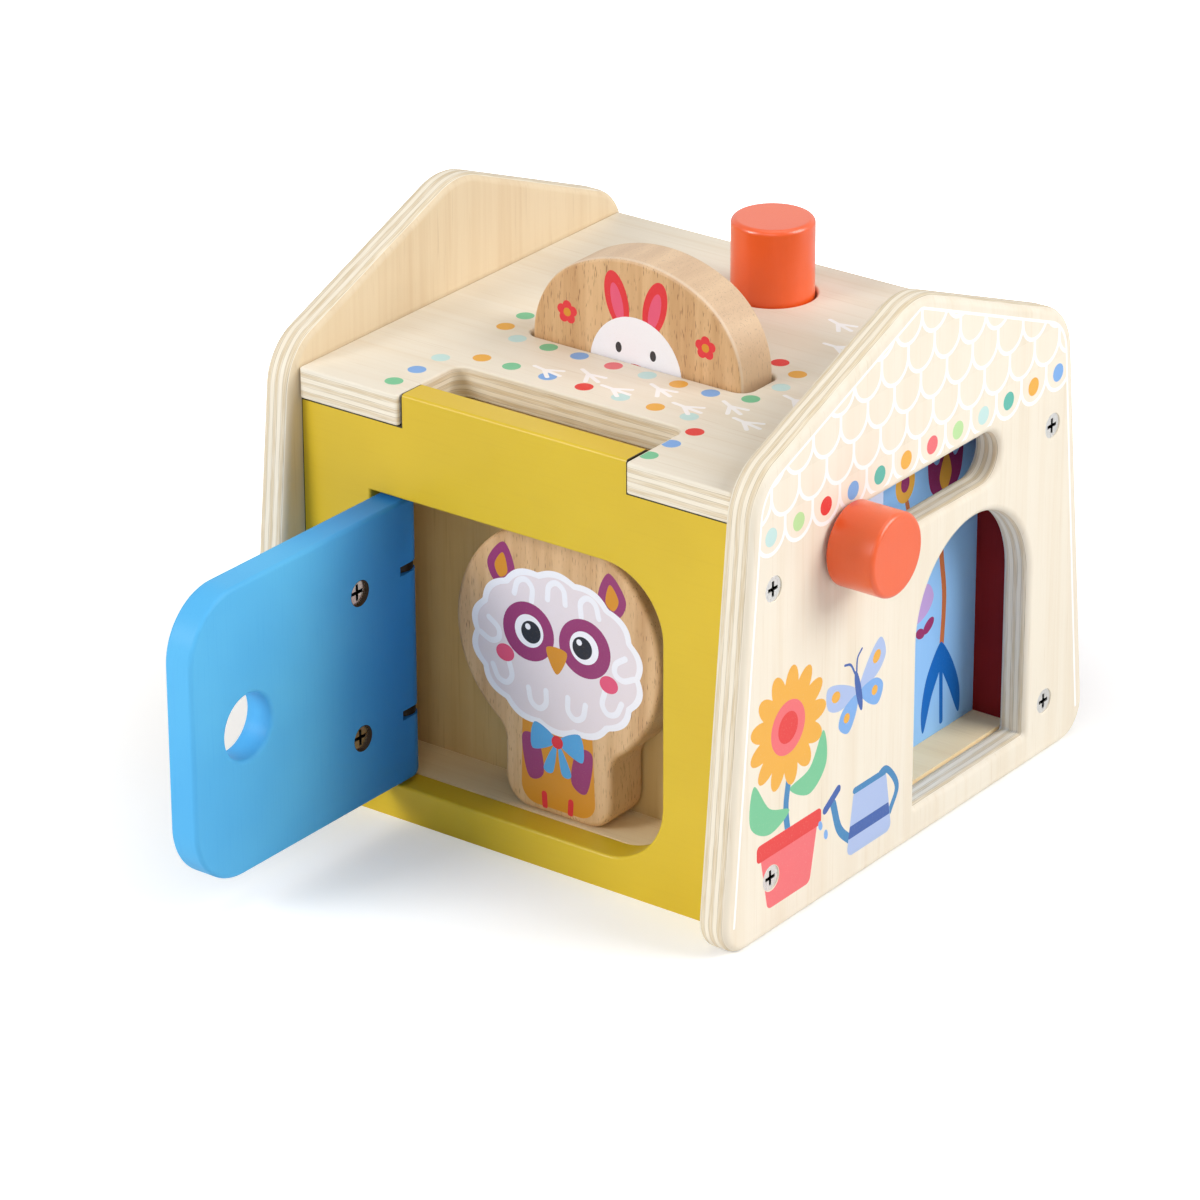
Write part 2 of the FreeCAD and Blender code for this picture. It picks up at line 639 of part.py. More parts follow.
def screw(name, length, turn, x, y, z):
    """A countersunk wood screw with a cross recess. Its head's face is at its place, and it
    points down before it is turned."""
    part = body(name)
    profile = polygon(sketch_on(part, f"{name}_profile", "XZ_Plane"), [
        ("0", f"- ( {length} )"), ("screw_shank_radius", f"screw_shank_radius - ( {length} )"),
        ("screw_shank_radius", "- screw_head_depth"), ("screw_head_radius", "- screw_recess"),
        ("screw_head_radius", "0"), ("0", "0"),
    ])
    doc.recompute()
    turned = part.newObject("PartDesign::Revolution", f"{name}_shape")
    turned.Profile = profile
    turned.ReferenceAxis = (profile, ["V_Axis"])
    turned.Angle = 360
    cross = sketch_on(part, f"{name}_cross_outline", "XY_Plane")
    arm, bar = "screw_recess_reach", "screw_recess_width / 2"
    polygon(cross, [
        (f"- {arm}", f"- {bar}"), (f"- {bar}", f"- {bar}"), (f"- {bar}", f"- {arm}"), (bar, f"- {arm}"),
        (bar, f"- {bar}"), (arm, f"- {bar}"), (arm, bar), (bar, bar), (bar, arm), (f"- {bar}", arm),
        (f"- {bar}", bar), (f"- {arm}", bar),
    ])
    pocket(part, cross, f"{name}_cross", "screw_recess_depth")
    part.Placement = FreeCAD.Placement(V(), turn)
    return place(part, x=x, y=y, z=z)


TO_RIGHT = FreeCAD.Rotation(V(0, 1, 0), 90)
TO_LEFT = FreeCAD.Rotation(V(0, 1, 0), -90)
UPSIDE_DOWN = FreeCAD.Rotation(V(1, 0, 0), 180)
for side, turn, sign in (("right", TO_RIGHT, ""), ("left", TO_LEFT, "- ")):
    face = f"{sign}( {SIDE_FACE} - screw_recess )"
    screws = [screw(f"{side}_screw_{n}", "screw_length", turn, face, y, z)
              for n, (y, z) in enumerate(SIDE_SCREWS)]
    together(f"{side}_side_screws", screws)
together("base_screws", [screw(f"base_screw_{n}", "base_screw_length", UPSIDE_DOWN, x, y, "screw_recess")
                         for n, (x, y) in enumerate(BASE_SCREWS)])
together("roof_dowels", [place(cylinder(f"roof_dowel_{n}", "dowel_radius", "dowel_length"), x, y, DOWEL_FOOT)
                         for n, (x, y) in enumerate(DOWEL_SPOTS)])

# Hinge: a steel rod from the sill to the lintel, and two eye bolts in the door that turn on it.
ROD_LENGTH = "( base_thickness + doorway_height + hinge_rod_seat )"
rod = cylinder("hinge_rod", "hinge_rod_radius", ROD_LENGTH)
rod.Label = "hinge_rod"
place(rod, x=HINGE_X, y=HINGE_Y)


def eye_bolt(number, level):
    """A flat eye around the rod and a shank that ends in its nut."""
    bolt = body(f"eye_bolt_{number}")
    eye = sketch_on(bolt, f"eye_outline_{number}", "XY_Plane", level)
    circle(eye, "0", "0", "eye_radius")
    pad(bolt, eye, f"eye_{number}", "eye_thickness", both_ways=True)
    shank = sketch_on(bolt, f"shank_outline_{number}", "YZ_Plane")
    circle(shank, "0", level, "eye_shank_radius")
    pad(bolt, shank, f"shank_{number}", f"{NUT_X} + hinge_nut_radius / 2")
    bore = sketch_on(bolt, f"eye_bore_outline_{number}", "XY_Plane")
    pocket(bolt, circle(bore, "0", "0", "hinge_rod_radius + shaft_play"), f"eye_bore_{number}")
    return hang(bolt)


def barrel_nut(number, level):
    """A round nut across the door with a cross recess in its end and a hole for the shank."""
    nut = body(f"barrel_nut_{number}")
    outline = sketch_on(nut, f"barrel_outline_{number}", "XZ_Plane", NUT_FACE)
    pad(nut, circle(outline, NUT_X, level, "hinge_nut_radius"), f"barrel_{number}", "hinge_nut_length")
    arm, bar = "hinge_nut_recess_reach", "screw_recess_width / 2"
    for name, wide, tall in (("flat", arm, bar), ("upright", bar, arm)):
        recess = sketch_on(nut, f"{name}_recess_outline_{number}", "XZ_Plane", NUT_FACE)
        rectangle(recess, f"{NUT_X} - {wide}", f"{NUT_X} + {wide}", f"{level} - {tall}", f"{level} + {tall}")
        pocket(nut, recess, f"{name}_recess_{number}", "screw_recess_depth", True)
    thread = sketch_on(nut, f"thread_outline_{number}", "YZ_Plane")
    pocket(nut, circle(thread, "0", level, "eye_shank_radius + screw_play"), f"thread_{number}",
           f"{NUT_X} + hinge_nut_radius / 2 + screw_play", True)
    return hang(nut)


together("hinge_eye_bolts", [eye_bolt(n, level) for n, level in enumerate(LEVELS)])
together("barrel_nuts", [barrel_nut(n, level) for n, level in enumerate(LEVELS)])

# Pop-up figure: straight sides, a crown of three arcs, and a foot wider than its slot.
figure = body("pop_up_figure")
arch_sketch = sketch_on(figure, "figure_outline", "XZ_Plane")
half_width, foot = value("figure_width / 2"), value(FIGURE_FOOT)
crown_level = value(f"{FIGURE_TOP} - figure_crown_radius")
crown, shoulder = value("figure_crown_radius"), value("figure_shoulder_radius")
shoulder_x = half_width - shoulder
shoulder_z = crown_level + math.sqrt((crown - shoulder) ** 2 - shoulder_x ** 2)
lean = math.atan2(shoulder_z - crown_level, shoulder_x)


def line_in_arch(start, end):
    """A straight side of the figure's outline between two points."""
    ends = [V(x, z, 0) for x, z in (start, end)]
    return arch_sketch.addGeometry(Part.LineSegment(*ends), False)


def arc_in_arch(middle, radius, start, end):
    """A round side of the figure's outline between two angles."""
    whole = Part.Circle(V(*middle, 0), V(0, 0, 1), radius)
    return arch_sketch.addGeometry(Part.ArcOfCircle(whole, start, end), False)


right_line = line_in_arch((half_width, foot), (half_width, shoulder_z))
right_arc = arc_in_arch((shoulder_x, shoulder_z), shoulder, 0, lean)
top_arc = arc_in_arch((0, crown_level), crown, lean, math.pi - lean)
left_arc = arc_in_arch((-shoulder_x, shoulder_z), shoulder, math.pi - lean, math.pi)
left_line = line_in_arch((-half_width, shoulder_z), (-half_width, foot))
foot_line = line_in_arch((-half_width, foot), (half_width, foot))
SMOOTH_JOINS = ((right_line, right_arc), (right_arc, top_arc), (top_arc, left_arc), (left_arc, left_line))
for first, second in SMOOTH_JOINS:
    arch_sketch.addConstraint(Sketcher.Constraint("Tangent", first, 2, second, 1))
for first, second in ((left_line, foot_line), (foot_line, right_line)):
    arch_sketch.addConstraint(Sketcher.Constraint("Coincident", first, 2, second, 1))
fix(arch_sketch, "DistanceX", foot_line, 1, "- figure_width / 2", "left_across")
fix(arch_sketch, "DistanceY", foot_line, 1, FIGURE_FOOT, "left_foot")
fix(arch_sketch, "DistanceX", foot_line, 2, "figure_width / 2", "right_across")
fix(arch_sketch, "DistanceY", foot_line, 2, FIGURE_FOOT, "right_foot")
arch_sketch.addConstraint(Sketcher.Constraint("Vertical", left_line))
arch_sketch.addConstraint(Sketcher.Constraint("Vertical", right_line))
fix(arch_sketch, "Radius", right_arc, 3, "figure_shoulder_radius", "right_shoulder")
fix(arch_sketch, "Radius", left_arc, 3, "figure_shoulder_radius", "left_shoulder")
fix(arch_sketch, "Radius", top_arc, 3, "figure_crown_radius", "crown")
fix(arch_sketch, "DistanceY", top_arc, 3, f"{FIGURE_TOP} - figure_crown_radius", "crown_level")
pad(figure, arch_sketch, "figure_sheet", "figure_thickness", both_ways=True)
half_figure = value("figure_thickness / 2")
rounded(figure, "figure_soft_edges", "figure_edge_round", both(
    in_plane("y", -half_figure, half_figure), lambda edge: edge.BoundBox.ZMax > foot + NEAR))
foot_bar = rectangle(sketch_on(figure, "foot_outline", "XZ_Plane"),
                     "- figure_foot_width / 2", "figure_foot_width / 2",
                     FIGURE_FOOT, f"{FIGURE_FOOT} + figure_foot_height")
pad(figure, foot_bar, "figure_foot", "figure_thickness", both_ways=True)
place(figure, y="- figure_setback")

# Guides under the roof: grooved blocks that hold the ends of the figure's foot.
GUIDE_FACE = "( figure_width / 2 + guide_play )"
GUIDE_FLOOR = "( figure_foot_width / 2 + guide_play )"
for side, sign in (("left", "-"), ("right", "1 *")):
    guide = body(f"figure_guide_{side}")
    groove = "( figure_thickness / 2 + guide_play )"
    inside, outside = f"{sign} {GUIDE_FACE}", f"{sign} ( {GUIDE_FACE} + guide_thickness )"
    section = polygon(sketch_on(guide, f"{side}_guide_section", "XY_Plane"), [
        (inside, "- guide_depth / 2"), (outside, "- guide_depth / 2"),
        (outside, "guide_depth / 2"), (inside, "guide_depth / 2"),
        (inside, groove), (f"{sign} {GUIDE_FLOOR}", groove),
        (f"{sign} {GUIDE_FLOOR}", f"- {groove}"), (inside, f"- {groove}"),
    ])
    pad(guide, section, f"{side}_guide_block", "guide_length")
    place(guide, y="- figure_setback", z=f"{ROOF_UNDER} - guide_length")

# Push button: a turned dowel with a nose below, and the washer that keeps it in the roof.
BUTTON_TOP = "( roof_height + button_show )"
SHOULDER = f"( {ROOF_UNDER} - washer_gap )"
button = body("push_button")
profile = polygon(sketch_on(button, "button_profile", "XZ_Plane"), [
    ("0", BUTTON_FOOT), ("button_nose_radius", BUTTON_FOOT), ("button_nose_radius", SHOULDER),
    ("button_radius", SHOULDER), ("button_radius", f"{BUTTON_TOP} - button_chamfer"),
    ("button_radius - button_chamfer", BUTTON_TOP), ("0", BUTTON_TOP),
])
doc.recompute()
turned_button = button.newObject("PartDesign::Revolution", "button_turning")
turned_button.Profile = profile
turned_button.ReferenceAxis = (profile, ["V_Axis"])
turned_button.Angle = 360
place(button, y="button_setback")
washer = body("button_washer")
ring = sketch_on(washer, "washer_outline", "XY_Plane")
circle(ring, "0", "0", "washer_radius", "rim")
circle(ring, "0", "0", "button_nose_radius", "bore")
pad(washer, ring, "washer_ring", "washer_thickness")
place(washer, y="button_setback", z=f"{SHOULDER} - washer_thickness")

# Rocker: a wooden lever with round tips and a hub, modelled level and tipped to its rest.
rocker = body("rocker_lever")
tips = sketch_on(rocker, "rocker_tips_outline", "YZ_Plane")
circle(tips, f"- {ROCKER_ARM}", "0", "rocker_tip_radius", "figure_tip")
circle(tips, ROCKER_ARM, "0", "rocker_tip_radius", "button_tip")
web = rectangle(sketch_on(rocker, "rocker_web_outline", "YZ_Plane"),
                f"- {ROCKER_ARM}", ROCKER_ARM, "- rocker_web / 2", "rocker_web / 2")
pad(rocker, web, "rocker_bar", "rocker_width", both_ways=True)
pad(rocker, tips, "rocker_tips", "rocker_width", both_ways=True)
hub = circle(sketch_on(rocker, "rocker_hub_outline", "YZ_Plane"), "0", "0", "rocker_hub_radius")
pad(rocker, hub, "rocker_hub", "rocker_width", both_ways=True)
bore = circle(sketch_on(rocker, "rocker_bore_outline", "YZ_Plane"),
              "0", "0", "rocker_pin_radius + shaft_play")
pocket(rocker, bore, "rocker_bore")
rocker.Placement = FreeCAD.Placement(V(), FreeCAD.Rotation(V(1, 0, 0), value(ROCKER_TILT)))
place(rocker, y=ROCKER_Y, z=ROCKER_LEVEL)
PIN_REACH = "( rocker_width / 2 + rocker_side_gap + post_thickness )"
pin = cylinder("rocker_pin", "rocker_pin_radius", f"2 * {PIN_REACH}", "x")
pin.Label = "rocker_pin"
place(pin, x=f"- {PIN_REACH}", y=ROCKER_Y, z=ROCKER_LEVEL)

for side, sign in (("left", "-"), ("right", "1 *")):
    post = body(f"rocker_post_{side}")
    upright = rectangle(sketch_on(post, f"{side}_post_outline", "YZ_Plane"),
                        "- post_depth / 2", "post_depth / 2",
                        "base_thickness", f"{ROCKER_LEVEL} + post_head")
    pad(post, upright, f"{side}_post_sheet", "post_thickness", both_ways=True)
    seat = circle(sketch_on(post, f"{side}_post_seat_outline", "YZ_Plane"),
                  "0", ROCKER_LEVEL, "rocker_pin_radius")
    pocket(post, seat, f"{side}_post_seat")
    hole = circle(sketch_on(post, f"{side}_post_screw_outline", "XY_Plane", "base_thickness"),
                  "0", "0", SHANK_HOLE)
    pocket(post, hole, f"{side}_post_screw_hole", BASE_SCREW_GRIP, True)
    place(post, x=f"{sign} {POST_X}", y=ROCKER_Y)

# Sliding picture behind the right panel, with its spacer in the slot, its knob and its screw.
PICTURE_START = f"( {FRONT_BACK} + picture_wall_gap )"
PICTURE_END = f"( {PICTURE_START} + picture_length )"
picture = body("sliding_picture")
card = rectangle(sketch_on(picture, "picture_outline", "YZ_Plane"), PICTURE_START, PICTURE_END,
                 "base_thickness + picture_floor_gap", "picture_top_height")
pad(picture, card, "picture_sheet", "picture_thickness")
start, end, top = value(PICTURE_START), value(PICTURE_END), value("picture_top_height")
rounded(picture, "picture_corners", "picture_corner", upright_at("x", (start, top), (end, top)))
place(picture, x=PICTURE_BACK)
drilled = circle(sketch_on(picture, "picture_hole_outline", "YZ_Plane"),
                 KNOB_Y, "knob_slot_height", SHANK_HOLE)
pocket(picture, drilled, "picture_screw_hole")
sink = circle(sketch_on(picture, "picture_sink_outline", "YZ_Plane"),
              KNOB_Y, "knob_slot_height", HEAD_SEAT)
pocket(picture, sink, "picture_head_seat", HEAD_SEAT_DEPTH, True)

SPACER_LENGTH = f"{KNOB_BACK} - {PICTURE_FRONT}"
spacer_tube = cylinder("spacer_turning", SPACER_RADIUS, SPACER_LENGTH, "x")
place(spacer_tube, PICTURE_FRONT, KNOB_Y, "knob_slot_height")
spacer_bore = cylinder("spacer_bore", SHANK_HOLE, SPACER_LENGTH, "x")
place(spacer_bore, PICTURE_FRONT, KNOB_Y, "knob_slot_height")
cut("knob_spacer", spacer_tube, spacer_bore)

knob = body("slide_knob")
knob_profile = polygon(sketch_on(knob, "knob_profile", "XZ_Plane"), [
    ("0", "0"), ("knob_radius - knob_chamfer / 2", "0"), ("knob_radius", "knob_chamfer / 2"),
    ("knob_radius", "knob_length - knob_chamfer"),
    ("knob_radius - knob_chamfer", "knob_length"), ("0", "knob_length"),
])
doc.recompute()
turned_knob = knob.newObject("PartDesign::Revolution", "knob_turning")
turned_knob.Profile = knob_profile
turned_knob.ReferenceAxis = (knob_profile, ["V_Axis"])
turned_knob.Angle = 360
knob_bore = circle(sketch_on(knob, "knob_bore_outline", "XY_Plane"), "0", "0", SHANK_HOLE)
pocket(knob, knob_bore, "knob_bore", f"knob_screw_length - ( {KNOB_BACK} - {PICTURE_BACK} )", True)
knob.Placement = FreeCAD.Placement(V(), TO_RIGHT)
place(knob, KNOB_BACK, KNOB_Y, "knob_slot_height")
knob_screw = screw("knob_screw", "knob_screw_length - screw_recess - screw_play", TO_LEFT,
                   f"{PICTURE_BACK} + screw_recess", KNOB_Y, "knob_slot_height")
knob_screw.Label = "knob_screw"

# Posting figure: a round head on a straight body, standing in the front compartment.
posting = body("posting_figure")
HEAD_LEVEL = f"( {POSTING_FLOOR} + posting_height - posting_head_radius )"
trunk = rectangle(sketch_on(posting, "posting_body_outline", "XZ_Plane"),
                  "- posting_body_width / 2", "posting_body_width / 2", POSTING_FLOOR, HEAD_LEVEL)
pad(posting, trunk, "posting_body", "posting_thickness", both_ways=True)
head = circle(sketch_on(posting, "posting_head_outline", "XZ_Plane"), "0", HEAD_LEVEL, "posting_head_radius")
pad(posting, head, "posting_head", "posting_thickness", both_ways=True)
trunk_half, posting_foot = value("posting_body_width / 2"), value(POSTING_FLOOR)
neck = value(HEAD_LEVEL) - math.sqrt(value("posting_head_radius") ** 2 - trunk_half ** 2)
rounded(posting, "posting_neck", "posting_neck_radius",
        upright_at("y", (trunk_half, neck), (-trunk_half, neck)))
rounded(posting, "posting_feet", "posting_foot_radius",
        upright_at("y", (trunk_half, posting_foot), (-trunk_half, posting_foot)))
half_posting = value("posting_thickness / 2")
rounded(posting, "posting_soft_edges", "figure_edge_round", in_plane("y", -half_posting, half_posting))
place(posting, x="posting_offset", y=f"{FRONT_BACK} + posting_gap / 2")

doc.recompute()

NODES = [
    "left_side_panel", "right_side_panel", "front_panel", "back_panel", "top_panel", "base_panel",
    "partition_panel", "picture_board", "right_side_screws", "left_side_screws", "base_screws",
    "roof_dowels", "hinge_rod", "figure_guide_left", "figure_guide_right", "rocker_post_left",
    "rocker_post_right", "rocker_pin", "door", "hinge_eye_bolts", "barrel_nuts", "pop_up_figure",
    "push_button", "button_washer", "rocker_lever", "sliding_picture", "knob_spacer", "slide_knob",
    "knob_screw", "posting_figure",
]
for thing in doc.Objects:
    if any(word in ("Invalid", "Error") for word in thing.State):
        raise RuntimeError(f"{thing.Name} failed: {thing.State}")
os.makedirs("parts", exist_ok=True)
for label in NODES:
    shape = doc.getObjectsByLabel(label)[0].Shape
    if shape.isNull() or not shape.isValid():
        raise RuntimeError(f"{label} is not a valid shape")
    shape.exportStep(f"parts/{label}.step")
    print(f"{label:20s} solids {len(shape.Solids)} volume {shape.Volume:10.1f}")
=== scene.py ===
"""The looks of a wooden pop-up toy house: two gabled plywood sides, a yellow front with a blue
door, a plywood roof that a figure pops through, a push button, a sliding knob and a figure to
post. Sizes are in millimetres, in the house's own frame: X along the front, Y to the back, Z up."""
import math

import bpy
import numpy as np
from mathutils import Matrix, Vector
from mathutils.geometry import delaunay_2d_cdt


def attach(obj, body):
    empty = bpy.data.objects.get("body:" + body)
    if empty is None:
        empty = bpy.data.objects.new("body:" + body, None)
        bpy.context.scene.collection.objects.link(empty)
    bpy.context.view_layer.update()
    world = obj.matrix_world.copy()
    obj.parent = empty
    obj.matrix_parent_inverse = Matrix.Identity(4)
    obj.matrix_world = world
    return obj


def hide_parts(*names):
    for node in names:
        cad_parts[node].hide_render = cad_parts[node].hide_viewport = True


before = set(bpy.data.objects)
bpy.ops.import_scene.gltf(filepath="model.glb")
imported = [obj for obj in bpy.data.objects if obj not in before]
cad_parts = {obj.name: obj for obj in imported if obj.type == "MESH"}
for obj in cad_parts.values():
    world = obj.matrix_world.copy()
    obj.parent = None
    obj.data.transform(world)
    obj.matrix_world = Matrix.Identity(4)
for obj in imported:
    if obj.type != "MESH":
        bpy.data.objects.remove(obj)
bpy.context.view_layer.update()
MM = 0.001

# Camera. A long lens stands in front of the house, to its right and above it.
CAMERA_PLACE = np.array([838.0, -1157.1, 708.6])
CAMERA_AZIMUTH = math.radians(36.684)
CAMERA_ELEVATION = math.radians(24.757)
CAMERA_ROLL = math.radians(-0.214)
LENS = 174.46

backward = np.array([math.sin(CAMERA_AZIMUTH) * math.cos(CAMERA_ELEVATION),
                     -math.cos(CAMERA_AZIMUTH) * math.cos(CAMERA_ELEVATION), math.sin(CAMERA_ELEVATION)])
level_right = np.array([math.cos(CAMERA_AZIMUTH), math.sin(CAMERA_AZIMUTH), 0])
level_up = np.cross(backward, level_right)
right = level_right * math.cos(CAMERA_ROLL) + level_up * math.sin(CAMERA_ROLL)
upward = level_up * math.cos(CAMERA_ROLL) - level_right * math.sin(CAMERA_ROLL)
camera = bpy.data.objects.new("camera", bpy.data.cameras.new("camera"))
camera.data.lens = LENS
camera.data.sensor_width = 36
axes = Matrix(np.array([right, upward, backward]).T.tolist())
camera.matrix_world = Matrix.Translation(CAMERA_PLACE * MM) @ axes.to_4x4()
bpy.context.scene.collection.objects.link(camera)
bpy.context.scene.camera = camera

# Side panels. Each is one gabled sheet of birch plywood, wider at the foot than at the eaves,
# sawn to shape and rounded over on every edge, so that its layers show as pale and dark lines.
# The right one has an arched window and a slot for the knob.
SIDE_THICKNESS = 9
SIDE_ROUNDING = 2.4
FOOT = 86.5
EAVE = (73.4, 129.1)
APEX = 157.7
FOOT_RADIUS, EAVE_RADIUS, APEX_RADIUS = 10, 17, 22
INNER_HALF = 70
LEAST_STEP = 0.002
ROUND_STEPS = 6


def rounded_path(corners, radii, steps=10):
    """A closed outline of straight runs and arcs, as points and the outward normal at each. An
    arc touches the two runs of its corner: its centre lies on the corner's bisector, radius /
    sin(half the angle) from the corner, and it turns by the supplement of the angle."""
    corners = np.array(corners, float)
    radii = np.broadcast_to(np.array(radii, float), len(corners))[:, None]
    before = np.roll(corners, 1, 0) - corners
    after = np.roll(corners, -1, 0) - corners
    before /= np.linalg.norm(before, axis=1, keepdims=True)
    after /= np.linalg.norm(after, axis=1, keepdims=True)
    half = np.arccos(np.clip((before * after).sum(1), -1, 1))[:, None] / 2
    bisector = before + after
    bisector /= np.linalg.norm(bisector, axis=1, keepdims=True)
    centres = corners + bisector * radii / np.sin(half)
    first = corners + before * radii / np.tan(half) - centres
    side = np.sign(after[:, :1] * before[:, 1:] - after[:, 1:] * before[:, :1])
    angle = side * (math.pi - 2 * half) * np.linspace(0, 1, steps)
    x = first[:, :1] * np.cos(angle) - first[:, 1:] * np.sin(angle)
    y = first[:, :1] * np.sin(angle) + first[:, 1:] * np.cos(angle)
    out = side / radii
    path = np.stack([centres[:, :1] + x, centres[:, 1:] + y, x * out, y * out], 2)
    return without_repeats(path.reshape(-1, 4))


def arc(x, y, radius, start, end, steps=24):
    """Points and outward normals round a centre, from one angle in degrees to another. The
    normal points away from the centre where the angle grows, and to it where it shrinks."""
    angle = np.radians(np.linspace(start, end, steps))
    ray = np.stack([np.cos(angle), np.sin(angle)], 1)
    return np.concatenate([ray * radius + (x, y), ray * math.copysign(1, end - start)], 1)


def hole(outline):
    """An outline turned into the edge of a hole: it runs the other way and faces its middle."""
    return outline[::-1] * (1, 1, -1, -1)


def without_repeats(outline):
    """The outline less each point that lies on the one before it."""
    gap = np.linalg.norm(outline[:, :2] - np.roll(outline[:, :2], 1, 0), axis=1)
    return outline[gap > LEAST_STEP]


def moved(shape, x, y, turn=0.0):
    """A shape turned by some degrees and moved."""
    c, s = math.cos(math.radians(turn)), math.sin(math.radians(turn))
    return np.array(shape, float) @ np.array([[c, s], [-s, c]]) + (x, y)


def oval(x, y, wide, tall=None, turn=0, steps=40):
    """An ellipse about a point: its half axes times the cosine and sine of an even angle,
    turned by some degrees. With one half axis it is a circle."""
    angle = np.linspace(0, 2 * math.pi, steps, endpoint=False)
    return moved(np.stack([wide * np.cos(angle), (tall or wide) * np.sin(angle)], 1), x, y, turn)


def outward_steps(outline):
    """For each point, the step that moves both of its edges outwards by one: the sum of the
    edges' unit normals over one plus their product."""
    edge = np.roll(outline, -1, 0) - outline
    normal = np.stack([edge[:, 1], -edge[:, 0]], 1) / np.linalg.norm(edge, axis=1, keepdims=True)
    last = np.roll(normal, 1, 0)
    return (normal + last) / (1 + (normal * last).sum(1, keepdims=True))


def linear(red, green, blue, cover=1.0):
    """A colour given as it looks on a screen, from 0 to 255, in linear light."""
    seen = np.array([red, green, blue]) / 255
    light = np.where(seen <= 0.04045, seen / 12.92, ((seen + 0.055) / 1.055) ** 2.4)
    return (*light.tolist(), cover)


BARE = (0.0, 0.0, 0.0, 0.0)


def turning(outline):
    """One for an outline that runs anticlockwise and minus one for one that runs clockwise: the
    sign of the sum of its edges' cross products."""
    following = np.roll(outline, -1, 0)
    return 1 if (outline[:, 0] * following[:, 1] - outline[:, 1] * following[:, 0]).sum() > 0 else -1


def printed_face(outlines, inks):
    """Triangles that fill a face between its outline and its holes, cut along each ink's edge,
    with the ink on each. An ink is a colour, a closed outline and, if it is clipped, the number
    of the ink that bounds it. The last one that covers a triangle shows."""
    shapes = [*outlines, *[ink[1][:, :2] for ink in inks]]
    ends = np.cumsum([len(shape) for shape in shapes])
    faces = [list(range(end - len(shape), end))[::turning(shape)] for shape, end in zip(shapes, ends)]
    found = delaunay_2d_cdt(np.concatenate(shapes).tolist(), [], faces, 1, 1e-5, True)
    points, triangles, origins, owners = found[0], found[2], found[3], found[5]
    kept, colours = [], []
    for triangle, owner in zip(triangles, owners):
        covering = sorted(owner, reverse=True)
        if 0 not in covering or any(0 < shape < len(outlines) for shape in covering):
            continue
        colour = BARE
        for shape in covering:
            ink = inks[shape - len(outlines)] if shape >= len(outlines) else (None,)
            if ink[0] and (len(ink) < 3 or ink[2] + len(outlines) in owner):
                colour = ink[0]
                break
        kept.append(triangle)
        colours.append(colour)
    rim = [next((i for i in origin if i < ends[len(outlines) - 1]), -1) for origin in origins]
    return np.array([tuple(p) for p in points]), np.array(kept), np.array(colours), np.array(rim)


def sheet(name, outlines, thickness, rounding, corner, across, up, inks=()):
    """A sheet with rounded edges. Its edge profile, a quarter circle from the printed face to
    the side and another to the back, is carried along every outline, and each face is filled
    in flat. The outer outline runs anticlockwise and the holes clockwise."""
    plane, corner = np.array([across, up], float), np.array(corner, float)
    facing = np.cross(*plane)
    angle = np.linspace(math.pi / 2, 0, ROUND_STEPS)
    angle = np.concatenate([angle, -angle[::-1]])
    rounding = np.broadcast_to(np.array(rounding, float), len(outlines))
    points, normals, quads, fronts, backs = [], [], [], [], []
    start = 0
    for outline, radius in zip(outlines, rounding):
        step = outward_steps(outline[:, :2])
        inset = radius * (1 - np.cos(angle))
        depth = radius * (1 - np.sin(np.abs(angle)))
        depth[ROUND_STEPS:] = thickness - depth[ROUND_STEPS:]
        flat = outline[:, None, :2] - step[:, None] * inset[None, :, None]
        out = (outline[:, 2:] @ plane)[:, None]
        lean = out * np.cos(angle)[:, None] + facing * np.sin(angle)[:, None]
        points.append((corner + flat @ plane - facing * depth[None, :, None]).reshape(-1, 3))
        normals.append(lean.reshape(-1, 3))
        index = start + np.arange(flat.shape[0] * flat.shape[1]).reshape(flat.shape[:2])
        along = np.roll(index, -1, 0)
        ring = [index[:, :-1], index[:, 1:], along[:, 1:], along[:, :-1]]
        quads.append(np.stack(ring, 2).reshape(-1, 4))
        fronts.append((flat[:, 0], index[:, 0]))
        backs.append((flat[:, -1], index[:, -1]))
        start += index.size
    quads = np.concatenate(quads)
    faces, paint = [quads], [np.tile(BARE, (len(quads), 1))]
    for rims, back, drawn in ((fronts, 0, list(inks)), (backs, thickness, [])):
        found, triangles, colours, rim = printed_face([r[0] for r in rims], drawn)
        known = np.concatenate([r[1] for r in rims])
        fresh = rim < 0
        number = np.where(fresh, start + np.cumsum(fresh) - 1, known[rim])
        points.append(corner + found[fresh] @ plane - facing * back)
        normals.append(np.tile(-facing if back else facing, (fresh.sum(), 1)))
        faces.append(number[triangles][:, ::-1] if back else number[triangles])
        paint.append(colours)
        start += fresh.sum()
    mesh = bpy.data.meshes.new(name)
    flat_faces = [face for group in faces for face in group.tolist()]
    mesh.from_pydata(np.concatenate(points) * MM, [], flat_faces)
    mesh.shade_smooth()
    sides = np.concatenate([np.full(len(group), group.shape[1]) for group in faces])
    corners = np.repeat(np.concatenate(paint), sides, 0).astype(np.float32)
    ink = mesh.color_attributes.new("ink", "FLOAT_COLOR", "CORNER")
    ink.data.foreach_set("color", corners.ravel())
    cover = mesh.attributes.new("cover", "FLOAT", "CORNER")
    cover.data.foreach_set("value", corners[:, 3].copy())
    mesh.normals_split_custom_set_from_vertices(np.concatenate(normals))
    return bpy.data.objects.new(name, mesh)


